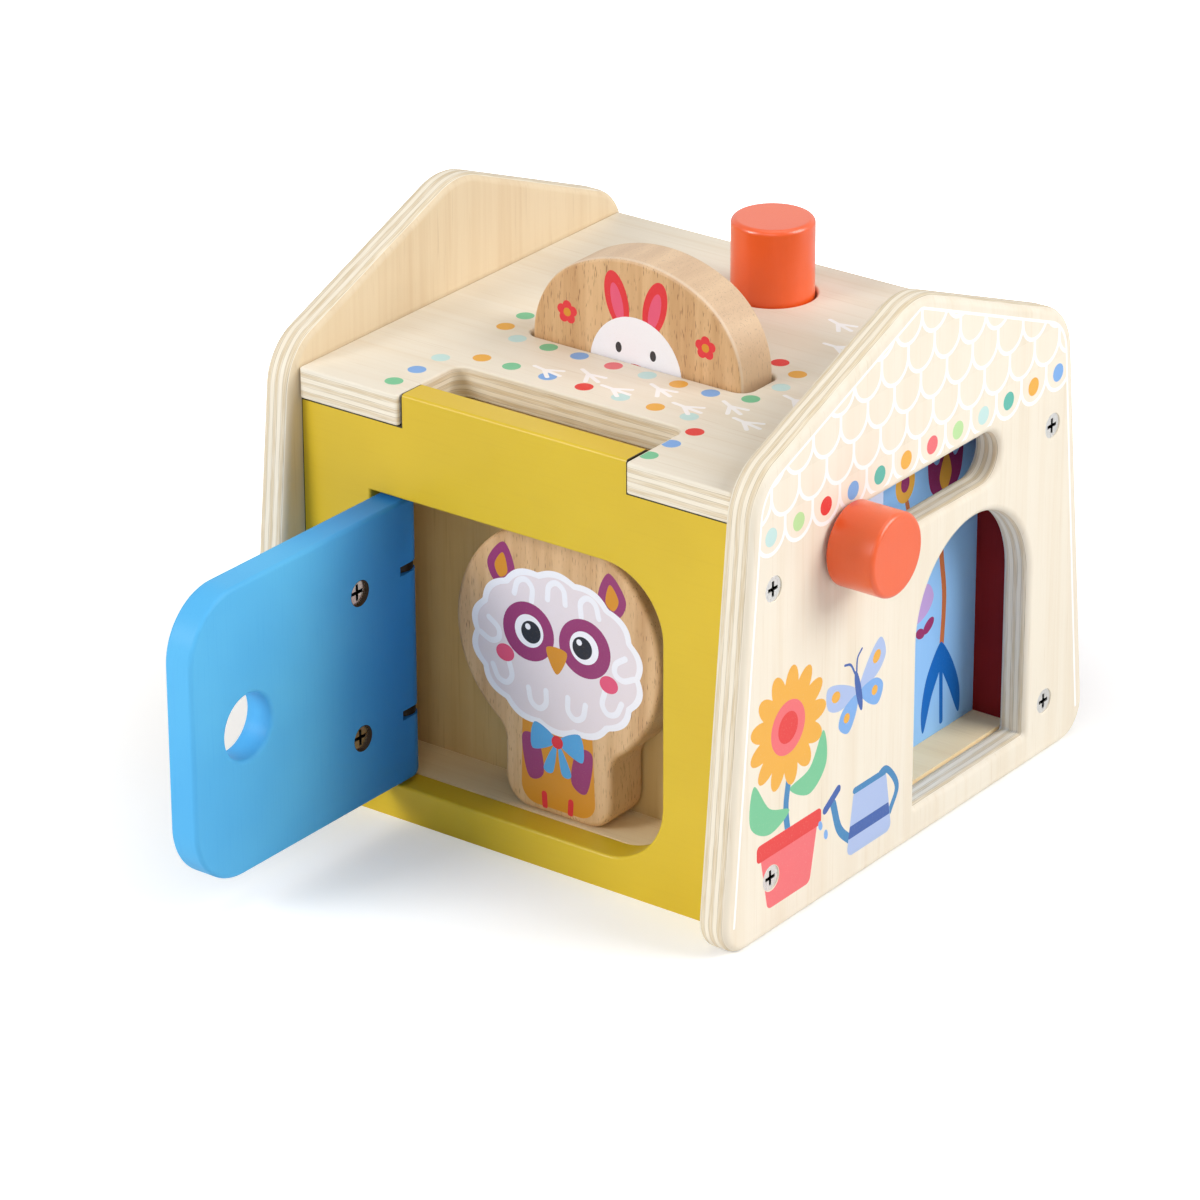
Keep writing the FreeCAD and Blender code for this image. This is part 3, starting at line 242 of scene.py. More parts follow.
class Signal:
    """A value or colour that changes over a surface. Arithmetic on it adds Math nodes, and
    node() adds any other kind."""

    def __init__(self, socket):
        self.socket = socket

    def node(self, kind, settings=None, sockets=None, output=0):
        """A node of a kind, given its settings and then its sockets' values or links."""
        tree = self.socket.id_data
        made = tree.nodes.new(kind)
        for name, setting in (settings or {}).items():
            setattr(made, name, setting)
        for name, value in (sockets or {}).items():
            if isinstance(value, Signal):
                tree.links.new(value.socket, made.inputs[name])
            else:
                made.inputs[name].default_value = value
        return Signal(made.outputs[output])

    def math(self, operation, *others):
        sockets = dict(enumerate((self, *others)))
        return self.node("ShaderNodeMath", {"operation": operation}, sockets)

    def __add__(self, other):
        return self.math("ADD", other)

    __radd__ = __add__

    def __mul__(self, other):
        return self.math("MULTIPLY", other)

    __rmul__ = __mul__

    def __sub__(self, other):
        return self.math("SUBTRACT", other)

    def __rsub__(self, other):
        return self.node("ShaderNodeMath", {"operation": "SUBTRACT"}, {0: other, 1: self})

    def __truediv__(self, other):
        return self.math("DIVIDE", other)

    def __lt__(self, other):
        return self.math("LESS_THAN", other)

    def __gt__(self, other):
        return self.math("GREATER_THAN", other)

    def __mod__(self, other):
        return self.math("FLOORED_MODULO", other)

    def ramp(self, low, high):
        """Nought below a low value, one above a high value, and smooth between them."""
        sockets = {0: self, 1: low, 2: high}
        return self.node("ShaderNodeMapRange", {"interpolation_type": "SMOOTHSTEP"}, sockets)

    def blend(self, none, full):
        """The first colour where this is nought and the second where it is one."""
        return self.node("ShaderNodeMix", {"data_type": "RGBA"}, {0: self, 6: none, 7: full}, 2)

    def split(self):
        """The X, Y and Z of a vector, as three signals."""
        return [self.node("ShaderNodeSeparateXYZ", {}, {0: self}, axis) for axis in range(3)]

    def stretched(self, x, y, z):
        """A place with each axis counted in its own length, in millimetres."""
        lengths = (1 / (x * MM), 1 / (y * MM), 1 / (z * MM))
        return self.node("ShaderNodeVectorMath", {"operation": "MULTIPLY"}, {0: self, 1: lengths})

    def noise(self, x, y, z, detail=2.0, shift=0.0):
        """Smooth noise about one half, with its own length along each axis in millimetres."""
        place = self.stretched(x, y, z)
        place = place.node("ShaderNodeVectorMath", {"operation": "ADD"}, {0: place, 1: (shift,) * 3})
        return self.node("ShaderNodeTexNoise", {}, {"Vector": place, "Scale": 1.0, "Detail": detail})


def material(name, paint):
    """A material whose shader gets the values that paint returns for a place on the piece."""
    made = bpy.data.materials.new(name)
    made.use_nodes = True
    tree = made.node_tree
    shader = tree.nodes["Principled BSDF"]
    place = Signal(tree.nodes.new("ShaderNodeTexCoord").outputs["Object"])
    for socket, value in paint(place).items():
        if isinstance(value, Signal):
            tree.links.new(value.socket, shader.inputs[socket])
        else:
            shader.inputs[socket].default_value = value
    return made


def bumped(height, distance, strength):
    """A normal from a height, whose whole range is a distance in millimetres."""
    sockets = {"Strength": strength, "Distance": distance * MM, "Height": height}
    return height.node("ShaderNodeBump", {}, sockets)


def with_ink(place, wood, roughness):
    """Wood with the piece's printed ink over it. The ink is thin enough to show the wood's
    finest marks, and a little smoother."""
    ink = place.node("ShaderNodeAttribute", {"attribute_name": "ink"})
    cover = place.node("ShaderNodeAttribute", {"attribute_name": "cover"}, {}, 2)
    worn = cover * (1 - place.noise(0.5, 0.5, 0.5, 3.0, 11.3).ramp(0.55, 0.85) * 0.12)
    return worn.blend(wood, ink), roughness - cover * 0.08


def lengths(axis, grain, through, across, along):
    """Three lengths for noise in a sheet: through its thickness, across its grain and along it."""
    sizes = [across, across, across]
    sizes[axis] = through
    sizes[grain] = along
    return sizes


PALE_PLY = ((0.86, 0.785, 0.655, 1), (0.78, 0.665, 0.50, 1), (0.64, 0.505, 0.34, 1))
WARM_PLY = ((0.79, 0.65, 0.445, 1), (0.69, 0.52, 0.32, 1), (0.52, 0.37, 0.21, 1))
# Inner and deep tones: painted bounce light makes the base's veneer yellower, and painted shade makes the
# partition's deeper.
INNER_BOUNCE_PLY = ((0.96, 0.77, 0.48, 1), (0.86, 0.65, 0.37, 1), (0.66, 0.46, 0.24, 1))
DEEP_SHADE_PLY = ((0.76, 0.55, 0.25, 1), (0.64, 0.43, 0.17, 1), (0.46, 0.29, 0.11, 1))
PLY_LONG, PLY_CROSS, PLY_GLUE = (0.93, 0.85, 0.71, 1), (0.71, 0.58, 0.39, 1), (0.36, 0.26, 0.14, 1)
LAYERS, OUTER_LAYER = 7, 0.8


def plywood(name, axis, start, thickness, grain, veneer=PALE_PLY):
    """Birch plywood: veneers stacked along one axis, with their grain along another axis and
    across it by turns. The outer veneers are pale with faint streaks and fine pores. A cut edge
    shows each veneer, long fibres in one and their ends in the next, and the glue between."""
    def paint(place):
        depth = (place.split()[axis] / MM - start) * (LAYERS / thickness)
        depth = depth + (place.noise(14, 14, 14) - 0.5) * 0.25
        outer = (depth < OUTER_LAYER) + (depth > LAYERS - OUTER_LAYER)
        middle = ((depth % 1) - 0.5).math("ABSOLUTE")
        crossed = ((depth % 2) > 1) * (1 - middle.ramp(0.3, 0.5))
        seam = middle.ramp(0.41, 0.48)
        broad = place.noise(*lengths(axis, grain, 3, 7, 120), 3.0).ramp(0.35, 0.75)
        fine = place.noise(*lengths(axis, grain, 1, 0.6, 26), 3.0, 3.1)
        streak = place.noise(*lengths(axis, grain, 2, 1.5, 60), 2.0, 9.2).ramp(0.45, 0.75)
        pores = fine.ramp(0.6, 0.75) * 0.3
        face = pores.blend((broad * 0.45 + streak * 0.25).blend(veneer[0], veneer[1]), veneer[2])
        fibre = place.noise(*lengths(axis, grain, 0.22, 9, 9), 3.0, 5.4).ramp(0.3, 0.72)
        ends = place.noise(*lengths(axis, grain, 0.3, 0.5, 0.5), 2.0, 7.7)
        edge = (crossed * (0.35 + fibre * 0.65) + fibre * 0.3).blend(PLY_LONG, PLY_CROSS)
        edge = (seam * (0.25 + fibre * 0.5)).blend(edge, PLY_GLUE)
        wood = outer.math("MINIMUM", 1.0).blend(edge, face)
        colour, roughness = with_ink(place, wood, 0.5 + crossed * 0.12)
        relief = fine * 0.35 - seam * 0.4 - crossed * ends * 0.7
        return {"Base Color": colour, "Roughness": roughness, "Normal": bumped(relief, 0.05, 0.6),
                "Specular IOR Level": 0.25, "Coat Weight": 0.04, "Coat Roughness": 0.35}
    return material(name, paint)


def dress(piece, finish, body, slot, *nodes):
    """Puts a finished piece into the scene in place of its CAD nodes."""
    bpy.context.scene.collection.objects.link(piece)
    piece.data.materials.append(finish)
    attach(piece, body)
    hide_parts(*nodes)


def gable():
    """The side panels' outline: five corners, each rounded by its own radius."""
    corners = [(-FOOT, 0), (FOOT, 0), EAVE, (0, APEX), (-EAVE[0], EAVE[1])]
    return rounded_path(corners, [FOOT_RADIUS, FOOT_RADIUS, EAVE_RADIUS, APEX_RADIUS, EAVE_RADIUS], 14)


SCREW_HOLE, SAWN_ROUNDING = 3.55, 0.15
SCREW_SPOTS = [(y, z) for y in (-65, 65) for z in (16.6, 98.4)]
screw_holes = [hole(arc(y, z, SCREW_HOLE, 0, 360, 29)[:-1]) for y, z in SCREW_SPOTS]
WINDOW_FRONT, WINDOW_REAR, WINDOW_FOOT, WINDOW_TOP = 2.0, 55.5, 10, 84.5
ARCH = (WINDOW_REAR - WINDOW_FRONT) / 2 - 0.01
SLOT_REACH, SLOT_LOW, SLOT_HIGH = 39.5, 92.8, 106.8


def box(left, low, right, high):
    """The four corners of an upright rectangle, anticlockwise from the lower left."""
    return [(left, low), (right, low), (right, high), (left, high)]


window = rounded_path(box(WINDOW_FRONT, WINDOW_FOOT, WINDOW_REAR, WINDOW_TOP), [0.6, 0.6, ARCH, ARCH], 24)
knob_slot = rounded_path(box(-SLOT_REACH, SLOT_LOW, SLOT_REACH, SLOT_HIGH),
                         (SLOT_HIGH - SLOT_LOW) / 2 - 0.01, 16)

# The printed side: white shingles over a row of coloured dots, a white line along the edge,
# and a sunflower, a watering can and a butterfly in flat inks.
WHITE = linear(253, 251, 250, 0.92)
TINT = linear(250, 234, 216, 0.4)
RED, ROSE = linear(226, 66, 64), linear(236, 112, 116)
BLUE, SKY, NAVY = linear(126, 172, 228), linear(172, 190, 228), linear(66, 98, 168)
GREEN, LEAF, MINT = linear(120, 196, 150), linear(188, 224, 160), linear(196, 226, 222)
TEAL, OCHRE, PLUM = linear(96, 184, 168), linear(236, 174, 70), linear(150, 52, 104)
STEEL_BLUE, BLACK = linear(70, 134, 184), linear(34, 30, 36)
SHINGLE_PITCH, SHINGLE_RISE, SHINGLE_FIRST, SHINGLE_HEIGHT = 12.12, 9.25, -66.4, 114.5
SHINGLE_ROWS, SHINGLE_COLUMNS = 5, 12
LINE_WIDTH, EDGE_LINE_WIDTH, TIP_STEPS, CURVE_STEPS = 1.15, 0.85, 7, 8
DOT, DOT_HEIGHT = 2.55, 113.2
DOT_COLOURS = (MINT, LEAF, RED, BLUE, TEAL, OCHRE, ROSE, LEAF, MINT, TEAL, OCHRE, BLUE)


def line(path, width=LINE_WIDTH):
    """A line of even width along an open path: the path moved to each side by half the width,
    with a half circle at either end."""
    path = np.array(path, float)
    run = np.diff(path, axis=0)
    run /= np.linalg.norm(run, axis=1, keepdims=True)
    first, last = np.concatenate([run[:1], run]), np.concatenate([run, run[-1:]])
    way = (first + last) / (1 + (first * last).sum(1, keepdims=True))
    half = width / 2
    side = np.stack([-way[:, 1], way[:, 0]], 1) * half
    sweep = np.linspace(0, math.pi, TIP_STEPS + 2)[1:-1, None]
    tip = path[-1] + run[-1] * half * np.sin(sweep) - side[-1] * np.cos(sweep)
    tail = path[0] - run[0] * half * np.sin(sweep) + side[0] * np.cos(sweep)
    return without_repeats(np.concatenate([path - side, tip, (path + side)[::-1], tail]))


def curve(points, closed=False):
    """A smooth path through points: between two of them, the cubic whose slope at each is half
    the step from the point before it to the point after it."""
    points = np.array(points, float)
    if closed:
        p = [np.roll(points, shift, 0)[:, None] for shift in (1, 0, -1, -2)]
    else:
        ends = 2 * points[:1] - points[1:2], 2 * points[-1:] - points[-2:-1]
        padded = np.concatenate([ends[0], points, ends[1]])
        p = [padded[i:len(padded) - 3 + i][:, None] for i in range(4)]
    t = np.linspace(0, 1, CURVE_STEPS, endpoint=False)[None, :, None]
    path = 0.5 * (2 * p[1] + (p[2] - p[0]) * t + (2 * p[0] - 5 * p[1] + 4 * p[2] - p[3]) * t ** 2
                  + (3 * p[1] - p[0] - 3 * p[2] + p[3]) * t ** 3)
    path = path.reshape(-1, 2)
    return path if closed else np.concatenate([path, points[-1:]])


def shingle(x, z):
    """One shingle's line: down its left side, round its foot and up its right side."""
    angle = np.linspace(math.pi, 2 * math.pi, 17)
    half = SHINGLE_PITCH / 2
    foot = np.stack([x + half * np.cos(angle), z + half * np.sin(angle)], 1)
    top = z + SHINGLE_RISE - half
    return np.concatenate([[(x - half, top)], foot, [(x + half, top)]])


SIDE_INSET, RIDGE_INSET, EAVE_INSET, EDGE_LINE_FOOT = 4.3, 4.2, (3.4, 2.9), 9
ABOVE_FEET = 30
eave = (EAVE[0] - EAVE_INSET[0], EAVE[1] - EAVE_INSET[1])
eave_run = rounded_path([(-FOOT + SIDE_INSET, 0), (FOOT - SIDE_INSET, 0), eave, (0, APEX - RIDGE_INSET),
                         (-eave[0], eave[1])], [0.5, 0.5, 12, 3, 12])[:, :2]
edge_line = eave_run[eave_run[:, 1] > ABOVE_FEET]
slant = (edge_line[0] - np.array([FOOT - SIDE_INSET, 0])) / edge_line[0][1]
line_foot = edge_line[0] - slant * (edge_line[0][1] - EDGE_LINE_FOOT)
edge_line = np.concatenate([[line_foot], edge_line, [line_foot * (-1, 1)]])
shingles = [shingle(SHINGLE_FIRST + SHINGLE_PITCH * (count - row % 2 / 2),
                    SHINGLE_HEIGHT + SHINGLE_RISE * row)
            for row in range(SHINGLE_ROWS) for count in range(SHINGLE_COLUMNS + row % 2)]
side_inks = [(None, eave_run)]
side_inks += [(TINT, path, 0) for path in shingles]
side_inks += [(WHITE, line(path), 0) for path in shingles]
side_inks.append((WHITE, line(edge_line, EDGE_LINE_WIDTH)))
for count, colour in enumerate(DOT_COLOURS):
    side_inks.append((colour, oval(SHINGLE_FIRST + SHINGLE_PITCH * count, DOT_HEIGHT, DOT, steps=28)))

# Sunflower in a pot: a stem, two leaves, petals round a seed head, and a pot with a rim.
FLOWER, PETALS, PETAL_REACH = (-58.0, 57.0), 13, 11.5
side_inks += [
    (STEEL_BLUE, line(curve([(-57, 24), (-58.6, 34), (-57.4, 44), FLOWER]), 2.4)),
    (GREEN, curve([(-57, 33), (-66, 37), (-73, 46), (-74.5, 35), (-66, 29.5)], True)),
    (GREEN, curve([(-57, 39), (-48, 41.5), (-42, 50), (-40.5, 40), (-48, 34)], True)),
]
for bearing in np.arange(PETALS) * 360 / PETALS:
    middle = moved([(PETAL_REACH, 0)], *FLOWER, bearing)[0]
    side_inks.append((OCHRE, oval(*middle, 5.6, 3.0, bearing, 22)))
side_inks += [(ROSE, oval(*FLOWER, 7.6)), (RED, oval(*FLOWER, 4.4))]
side_inks += [
    (ROSE, rounded_path([(-66.5, 8), (-47.5, 8), (-44, 25), (-70, 25)], [2, 2, 1, 1], 6)),
    (RED, rounded_path(box(-71.5, 23, -42.5, 28), 1.4, 6)),
]
# Watering can: a body with a band, a handle, a long spout with a rose, and two drops.
side_inks += [
    (STEEL_BLUE, line(curve([(-10.5, 13.5), (-7.2, 20.0), (-12.5, 27.0), (-17.5, 25.5)]), 1.9)),
    (STEEL_BLUE, line(curve([(-28.5, 12.5), (-34.0, 18.0), (-37.0, 26.5)]), 2.6)),
    (NAVY, line([(-40.6, 26.2), (-34.8, 30.0)], 2.4)),
    (SKY, rounded_path([(-30.5, 8.0), (-9.5, 8.0), (-12.5, 26.5), (-27.5, 26.5)], 2.2, 6)),
    (NAVY, rounded_path([(-29.8, 13.0), (-10.4, 13.0), (-11.0, 16.6), (-29.1, 16.6)], 0.4, 4)),
    (STEEL_BLUE, line([(-27.0, 26.4), (-13.0, 26.4)], 1.9)),
    (BLUE, oval(-42.8, 22.6, 0.9, 1.5, 20, 16)), (BLUE, oval(-40.2, 19.0, 0.9, 1.5, 12, 16)),
]
# Butterfly: two pairs of wings, a body and two feelers.
BUTTERFLY = (-26.0, 55.0, 14)
for flip in (-1, 1):
    for colour, shape in (
            (SKY, curve([(0.6, 0.5), (6.5, 6.5), (12.5, 9.0), (13.5, 3.0), (8.0, -0.6)], True)),
            (BLUE, curve([(0.6, -0.5), (7.5, -1.0), (10.5, -5.0), (7.0, -9.0), (2.5, -5.5)], True)),
            (OCHRE, oval(9.6, 4.6, 2.0, 1.6, 30, 20)), (OCHRE, oval(6.6, -4.4, 1.4, 1.4, 0, 20)),
            (NAVY, line(curve([(0.4, 6.0), (1.6, 9.5), (4.0, 11.0)]), 0.7))):
        side_inks.append((colour, moved(shape * (flip, 1), *BUTTERFLY)))
side_inks.append((NAVY, moved(oval(0, 0, 1.3, 6.4), *BUTTERFLY)))

side_ply = plywood("right_plywood", 0, INNER_HALF, SIDE_THICKNESS, 2)
right_side = sheet("right_side", [gable(), hole(window), hole(knob_slot), *screw_holes], SIDE_THICKNESS,
                   [SIDE_ROUNDING] * 3 + [SAWN_ROUNDING] * 4, (INNER_HALF + SIDE_THICKNESS, 0, 0),
                   (0, 1, 0), (0, 0, 1), side_inks)
dress(right_side, side_ply, "housing", "plywood", "right_side_panel")
left_ply = plywood("left_plywood", 0, -INNER_HALF - SIDE_THICKNESS, SIDE_THICKNESS, 2, WARM_PLY)
left_side = sheet("left_side", [gable(), *screw_holes], SIDE_THICKNESS,
                  [SIDE_ROUNDING] + [SAWN_ROUNDING] * 4, (-INNER_HALF - SIDE_THICKNESS, 0, 0),
                  (0, -1, 0), (0, 0, 1))
dress(left_side, left_ply, "housing", "plywood", "left_side_panel")

# Base, partition and back: plain plywood sheets between the sides. The base and the partition
# are bare; painted bounce light makes the base yellower and painted shade makes the partition
# deeper than the sides, and the back is painted dark red.
BASE_THICKNESS, PARTITION_THICKNESS, PARTITION_FRONT = 10, 9, -44.5


def refinish(finish, *nodes):
    """Gives CAD nodes a finished material."""
    for node in nodes:
        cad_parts[node].data.materials[0] = finish


def painted(name, colour, shade, grain, gloss, show, coat=0.25, shine=0.5, over=None):
    """Paint over wood: a first colour drifting a little to a second one, a fine pebbled
    surface, and the grain of the wood below showing faintly along one axis. What over returns
    for a place and the paint's colour there replaces that colour."""
    def paint(place):
        drift = place.noise(30, 30, 30, 2.0, 1.7).ramp(0.3, 0.7)
        sizes = [0.6, 0.6, 0.6]
        sizes[grain] = 18
        fibre = place.noise(*sizes, 3.0, 4.1)
        specks = place.noise(0.35, 0.35, 0.35, 2.0, 6.6)
        worn = drift * 0.5 + fibre.ramp(0.5, 0.75) * show * 4
        coat_colour = worn.blend(linear(*colour), linear(*shade))
        if over:
            coat_colour = over(place, coat_colour)
        seen, roughness = with_ink(place, coat_colour, gloss + (specks - 0.5) * 0.12)
        relief = bumped(fibre + specks * 0.5, 0.03, 0.5)
        return {"Base Color": seen, "Roughness": roughness, "Normal": relief,
                "Specular IOR Level": shine, "Coat Weight": coat, "Coat Roughness": 0.25}
    return material(name, paint)


refinish(plywood("base_plywood", 2, 0, BASE_THICKNESS, 0, INNER_BOUNCE_PLY), "base_panel")
partition_ply = plywood("partition_plywood", 1, PARTITION_FRONT, PARTITION_THICKNESS, 2, DEEP_SHADE_PLY)
refinish(partition_ply, "partition_panel")
refinish(painted("red_paint", (128, 22, 22), (106, 14, 16), 2, 0.55, 0.08, 0, 0.15), "back_panel")

# Front: plywood painted yellow all over, with the doorway and the tab that fills the roof's
# notch. The narrow joints between the roof and it are darkened with painted shade.
ROOF_TOP, ROOF_THICKNESS, TAB_HALF = 124.5, 9, 36.5
JOINT_SHADE = (46, 38, 12)


def painted_joint_shade(place, colour):
    """Painted shade: dark on the edge under the roof, on the tab's two ends and along the side panels."""
    x, y, z = place.split()
    reach = x.math("ABSOLUTE")
    under = (z > (ROOF_TOP - ROOF_THICKNESS - 0.55) * MM) * (reach > (TAB_HALF - 0.3) * MM)
    return under.math("MAXIMUM", reach > (INNER_HALF - 0.25) * MM).blend(colour, linear(*JOINT_SHADE))


yellow = painted("yellow_paint", (221, 188, 40), (213, 179, 36), 0, 0.36, 0.05, 0.1, 0.4, painted_joint_shade)
refinish(yellow, "front_panel")

# Roof: a flat sheet let down between the sides. The print is rows of dots and the white
# tracks of small birds.
ROOF_HALF, ROOF_REACH, ROOF_CORNER, ROOF_GAP = 69.75, 70.7, 0.9, 0.25
NOTCH_HALF, NOTCH_BACK, CUT_CORNER = 36.95, -44.5, 4
FIGURE_MIDDLE, FIGURE_SLOT_HALF, FIGURE_SLOT_REACH = -8.8, 36, 8
BUTTON_MIDDLE, BUTTON_HOLE = 46.6, 12.2
roof_outline = rounded_path(
    [(-ROOF_HALF, -ROOF_REACH), (-NOTCH_HALF, -ROOF_REACH), (-NOTCH_HALF, NOTCH_BACK),
     (NOTCH_HALF, NOTCH_BACK), (NOTCH_HALF, -ROOF_REACH), (ROOF_HALF, -ROOF_REACH),
     (ROOF_HALF, ROOF_REACH), (-ROOF_HALF, ROOF_REACH)],
    [ROOF_CORNER] * 2 + [CUT_CORNER] * 2 + [ROOF_CORNER] * 4)
figure_slot = rounded_path(box(-FIGURE_SLOT_HALF, FIGURE_MIDDLE - FIGURE_SLOT_REACH,
                               FIGURE_SLOT_HALF, FIGURE_MIDDLE + FIGURE_SLOT_REACH), CUT_CORNER)
button_hole = arc(0, BUTTON_MIDDLE, BUTTON_HOLE, 0, 360, 61)[:-1]
ROOF_DOTS = (
    (GREEN, ((-43.4, -7.0), (-24.9, -21.1), (38.7, -18.4), (-24.9, -37.3), (-43.6, -63.4), (39.1, -63.7))),
    (OCHRE, ((-43.1, -16.1), (17.7, -21.3), (39, 2.4), (-34.7, -37.3), (21.9, -37.3))),
    (MINT, ((-35.3, -21.1), (7.6, -21.3), (10.7, -37.3), (32.7, -37.3), (-43.6, -43.6), (40.6, -7.4))),
    (BLUE, ((-14.7, -21.1), (28, -21.3), (-13, -37.3), (-43.6, -53.7), (39.3, -54.3))),
    (RED, ((30.7, 6.3), (-1.1, -37.3), (39.7, -44.6))), (ROSE, ((-3.4, -21.3),)))
TRACKS = ((-16.6, -34.1, 80), (-5.4, -29.7, 62), (5.6, -34, 84), (15.3, -26.9, 66), (27.6, -32.7, 82),
          (37.1, -25.4, 62), (46, -31.9, 78), (27.6, 37.7, 70), (36.1, 24.1, 88), (48, -12.3, 74))
TOES, TOE_WIDTH, ROOF_DOT = ((-34, 5.2), (0, 6.0), (34, 5.2), (180, 3.6)), 1.25, 2.5
roof_inks = [(colour, oval(x, y, ROOF_DOT, steps=28)) for colour, spots in ROOF_DOTS for x, y in spots]
for x, y, turn in TRACKS:
    for toe, reach in TOES:
        roof_inks.append((WHITE, moved(line([(0, 0), (reach, 0)], TOE_WIDTH), x, y, turn + toe - 90)))
roof = sheet("roof", [roof_outline, hole(figure_slot), hole(button_hole)], ROOF_THICKNESS - ROOF_GAP,
             [0.6, 0.9, 0.8], (0, 0, ROOF_TOP), (1, 0, 0), (0, 1, 0), roof_inks)
roof_ply = plywood("roof_plywood", 2, ROOF_TOP - ROOF_THICKNESS, ROOF_THICKNESS, 0)
dress(roof, roof_ply, "housing", "plywood", "top_panel")

# Picture board: a blue painted sheet behind the window, fixed between the front and the back,
# with a tall flower, long leaves, a small round flower and a cloud.
BOARD_FACE, BOARD_THICKNESS, BOARD_HALF, BOARD_FOOT, BOARD_TOP = 58.8, 6, 60.5, 10, 115.5
DEEP_BLUE, BROWN, LILAC = linear(24, 104, 190), linear(196, 112, 66), linear(190, 160, 216)
board_inks = [
    (LILAC, curve([(20, 49), (26, 55.5), (31.5, 54), (36.4, 57), (39.6, 52.4), (36.6, 48.2),
                   (30, 46.6)], True)),
    (PLUM, oval(37.4, 44.2, 2.9, 1.7, 32)), (PLUM, oval(33.4, 43.2, 2.3, 1.5, -24)),
    (BROWN, line(curve([(43.6, 30), (44.8, 50), (42.8, 66), (44, 84)]), 2.1)),
    (DEEP_BLUE, curve([(43.6, 37), (37.2, 29), (34.6, 19), (35.8, 12.4), (39.6, 22), (44.2, 30.5)], True)),
    (DEEP_BLUE, curve([(43.8, 37), (49.6, 29.4), (53.4, 20), (53.0, 12.4), (48.2, 21.4),
                       (43.6, 30.5)], True)),
    (DEEP_BLUE, line([(43.8, 35), (44.6, 12.8)], 1.7)),
    (PLUM, curve([(44, 80), (37, 84), (35.6, 94), (40.2, 90.6), (44.4, 97.4), (48.4, 90.6),
                  (52.4, 93.6), (51, 84)], True)),
    (OCHRE, curve([(44, 81.5), (41.2, 86.4), (44.3, 93), (47, 86.4)], True)),
    (BROWN, line(curve([(25, 66), (27, 78), (24.6, 88)]), 1.7)),
    (OCHRE, oval(24.6, 90.6, 4.6, 5.6)), (PLUM, oval(24.6, 90.6, 2.0, 2.6)),
    (DEEP_BLUE, curve([(26.6, 74), (20, 78), (17.6, 85), (23.4, 81.4)], True)),
]
board_outline = rounded_path(box(-BOARD_HALF, BOARD_FOOT, BOARD_HALF, BOARD_TOP), 0.3, 4)
board = sheet("board", [board_outline], BOARD_THICKNESS, SAWN_ROUNDING,
              (BOARD_FACE, 0, 0), (0, 1, 0), (0, 0, 1), board_inks)
sky_paint = painted("sky_paint", (152, 200, 247), (138, 188, 244), 2, 0.5, 0.04, 0, 0.1)
dress(board, sky_paint, "housing", "picture_board", "picture_board")

# Door: plywood painted blue, with a finger hole. It turns on a steel rod by two eye bolts,
# whose round nuts show in its face. Painted shade deepens the blue towards the hinge and darkens
# the nuts' holes.
NUT_PLACES, NUT_HOLE, NUT_FACE, NUT_DEPTH = ((-86.2, 31.15), (-86.2, 73.35)), 3.7, -39.0, 6
HINGE_EDGE, HINGE_SHADE = -66, 52


def door_painted_shade(place, colour):
    """Painted shade: the blue deepens towards the hinge, and the nuts' holes, bare wood inside, are
    painted dark with shade.
    """
    x, y, z = place.split()
    hinge_shade_mix = (y / MM).ramp(HINGE_EDGE - HINGE_SHADE, HINGE_EDGE)
    colour = (hinge_shade_mix * 0.75).blend(colour, linear(20, 108, 204))
    for nut_y, nut_z in NUT_PLACES:
        across, up = y / MM - nut_y, z / MM - nut_z
        bore_shade = ((across * across + up * up) < NUT_HOLE ** 2) * (x > (NUT_FACE - NUT_DEPTH) * MM)
        colour = bore_shade.blend(colour, linear(48, 34, 24))
    return colour


blue = painted("blue_paint", (94, 187, 240), (82, 175, 235), 2, 0.42, 0.06, 0.04, 0.12, door_painted_shade)
refinish(blue, "door")

# Screws, rod and eye bolts of steel, and barrel nuts of pale brass. The screws' heads lie a
# little below the wood, and painted shade darkens their cross recesses and the nuts below their faces.
ZINC, STEEL, DARK_STEEL, BRASS = (244, 243, 240), (190, 190, 190), (58, 52, 48), (246, 238, 220)
HEAD_DEPTH = 0.3
SCREW_FACE = INNER_HALF + SIDE_THICKNESS - HEAD_DEPTH


def metal(name, colour, roughness, axis=None, face=0.0):
    """Plated metal with fine scratches. Below a face across an axis it darkens with depth:
    painted shade, as falls in a deep recess."""
    def paint(place):
        scratch = place.noise(0.25, 0.25, 1.4, 3.0, 2.2)
        lit = linear(*colour)
        tone = scratch.ramp(0.3, 0.8).blend(lit, tuple(0.72 * part for part in lit[:3]) + (1,))
        if axis is not None:
            recess_shade = (place.split()[axis] / MM - face).math("ABSOLUTE").ramp(0.1, 0.6)
            tone = recess_shade.blend(tone, (0.012, 0.011, 0.01, 1))
        return {"Base Color": tone, "Roughness": roughness + scratch * 0.15, "Metallic": 1.0,
                "Normal": bumped(scratch, 0.01, 0.4)}
    return material(name, paint)


refinish(metal("zinc_right", ZINC, 0.2, 0, SCREW_FACE), "right_side_screws")
refinish(metal("zinc_left", ZINC, 0.2, 0, -SCREW_FACE), "left_side_screws")
refinish(metal("zinc_base", ZINC, 0.2, 2, HEAD_DEPTH), "base_screws")
refinish(metal("steel", STEEL, 0.3), "hinge_rod", "knob_screw", "rocker_pin")
refinish(metal("dark_steel", DARK_STEEL, 0.5), "hinge_eye_bolts")
refinish(metal("brass", BRASS, 0.18, 0, NUT_FACE), "barrel_nuts")

# Figures: beech blanks with rounded edges, printed on the front. One is pushed up through the
# roof by the rocker, and one is posted through the roof's notch.
WOOD_LIGHT, WOOD_DARK = (222, 183, 136), (191, 146, 98)
WOOD_FLECK, WOOD_EDGE_HIGHLIGHT = (130, 84, 50), (240, 224, 204)


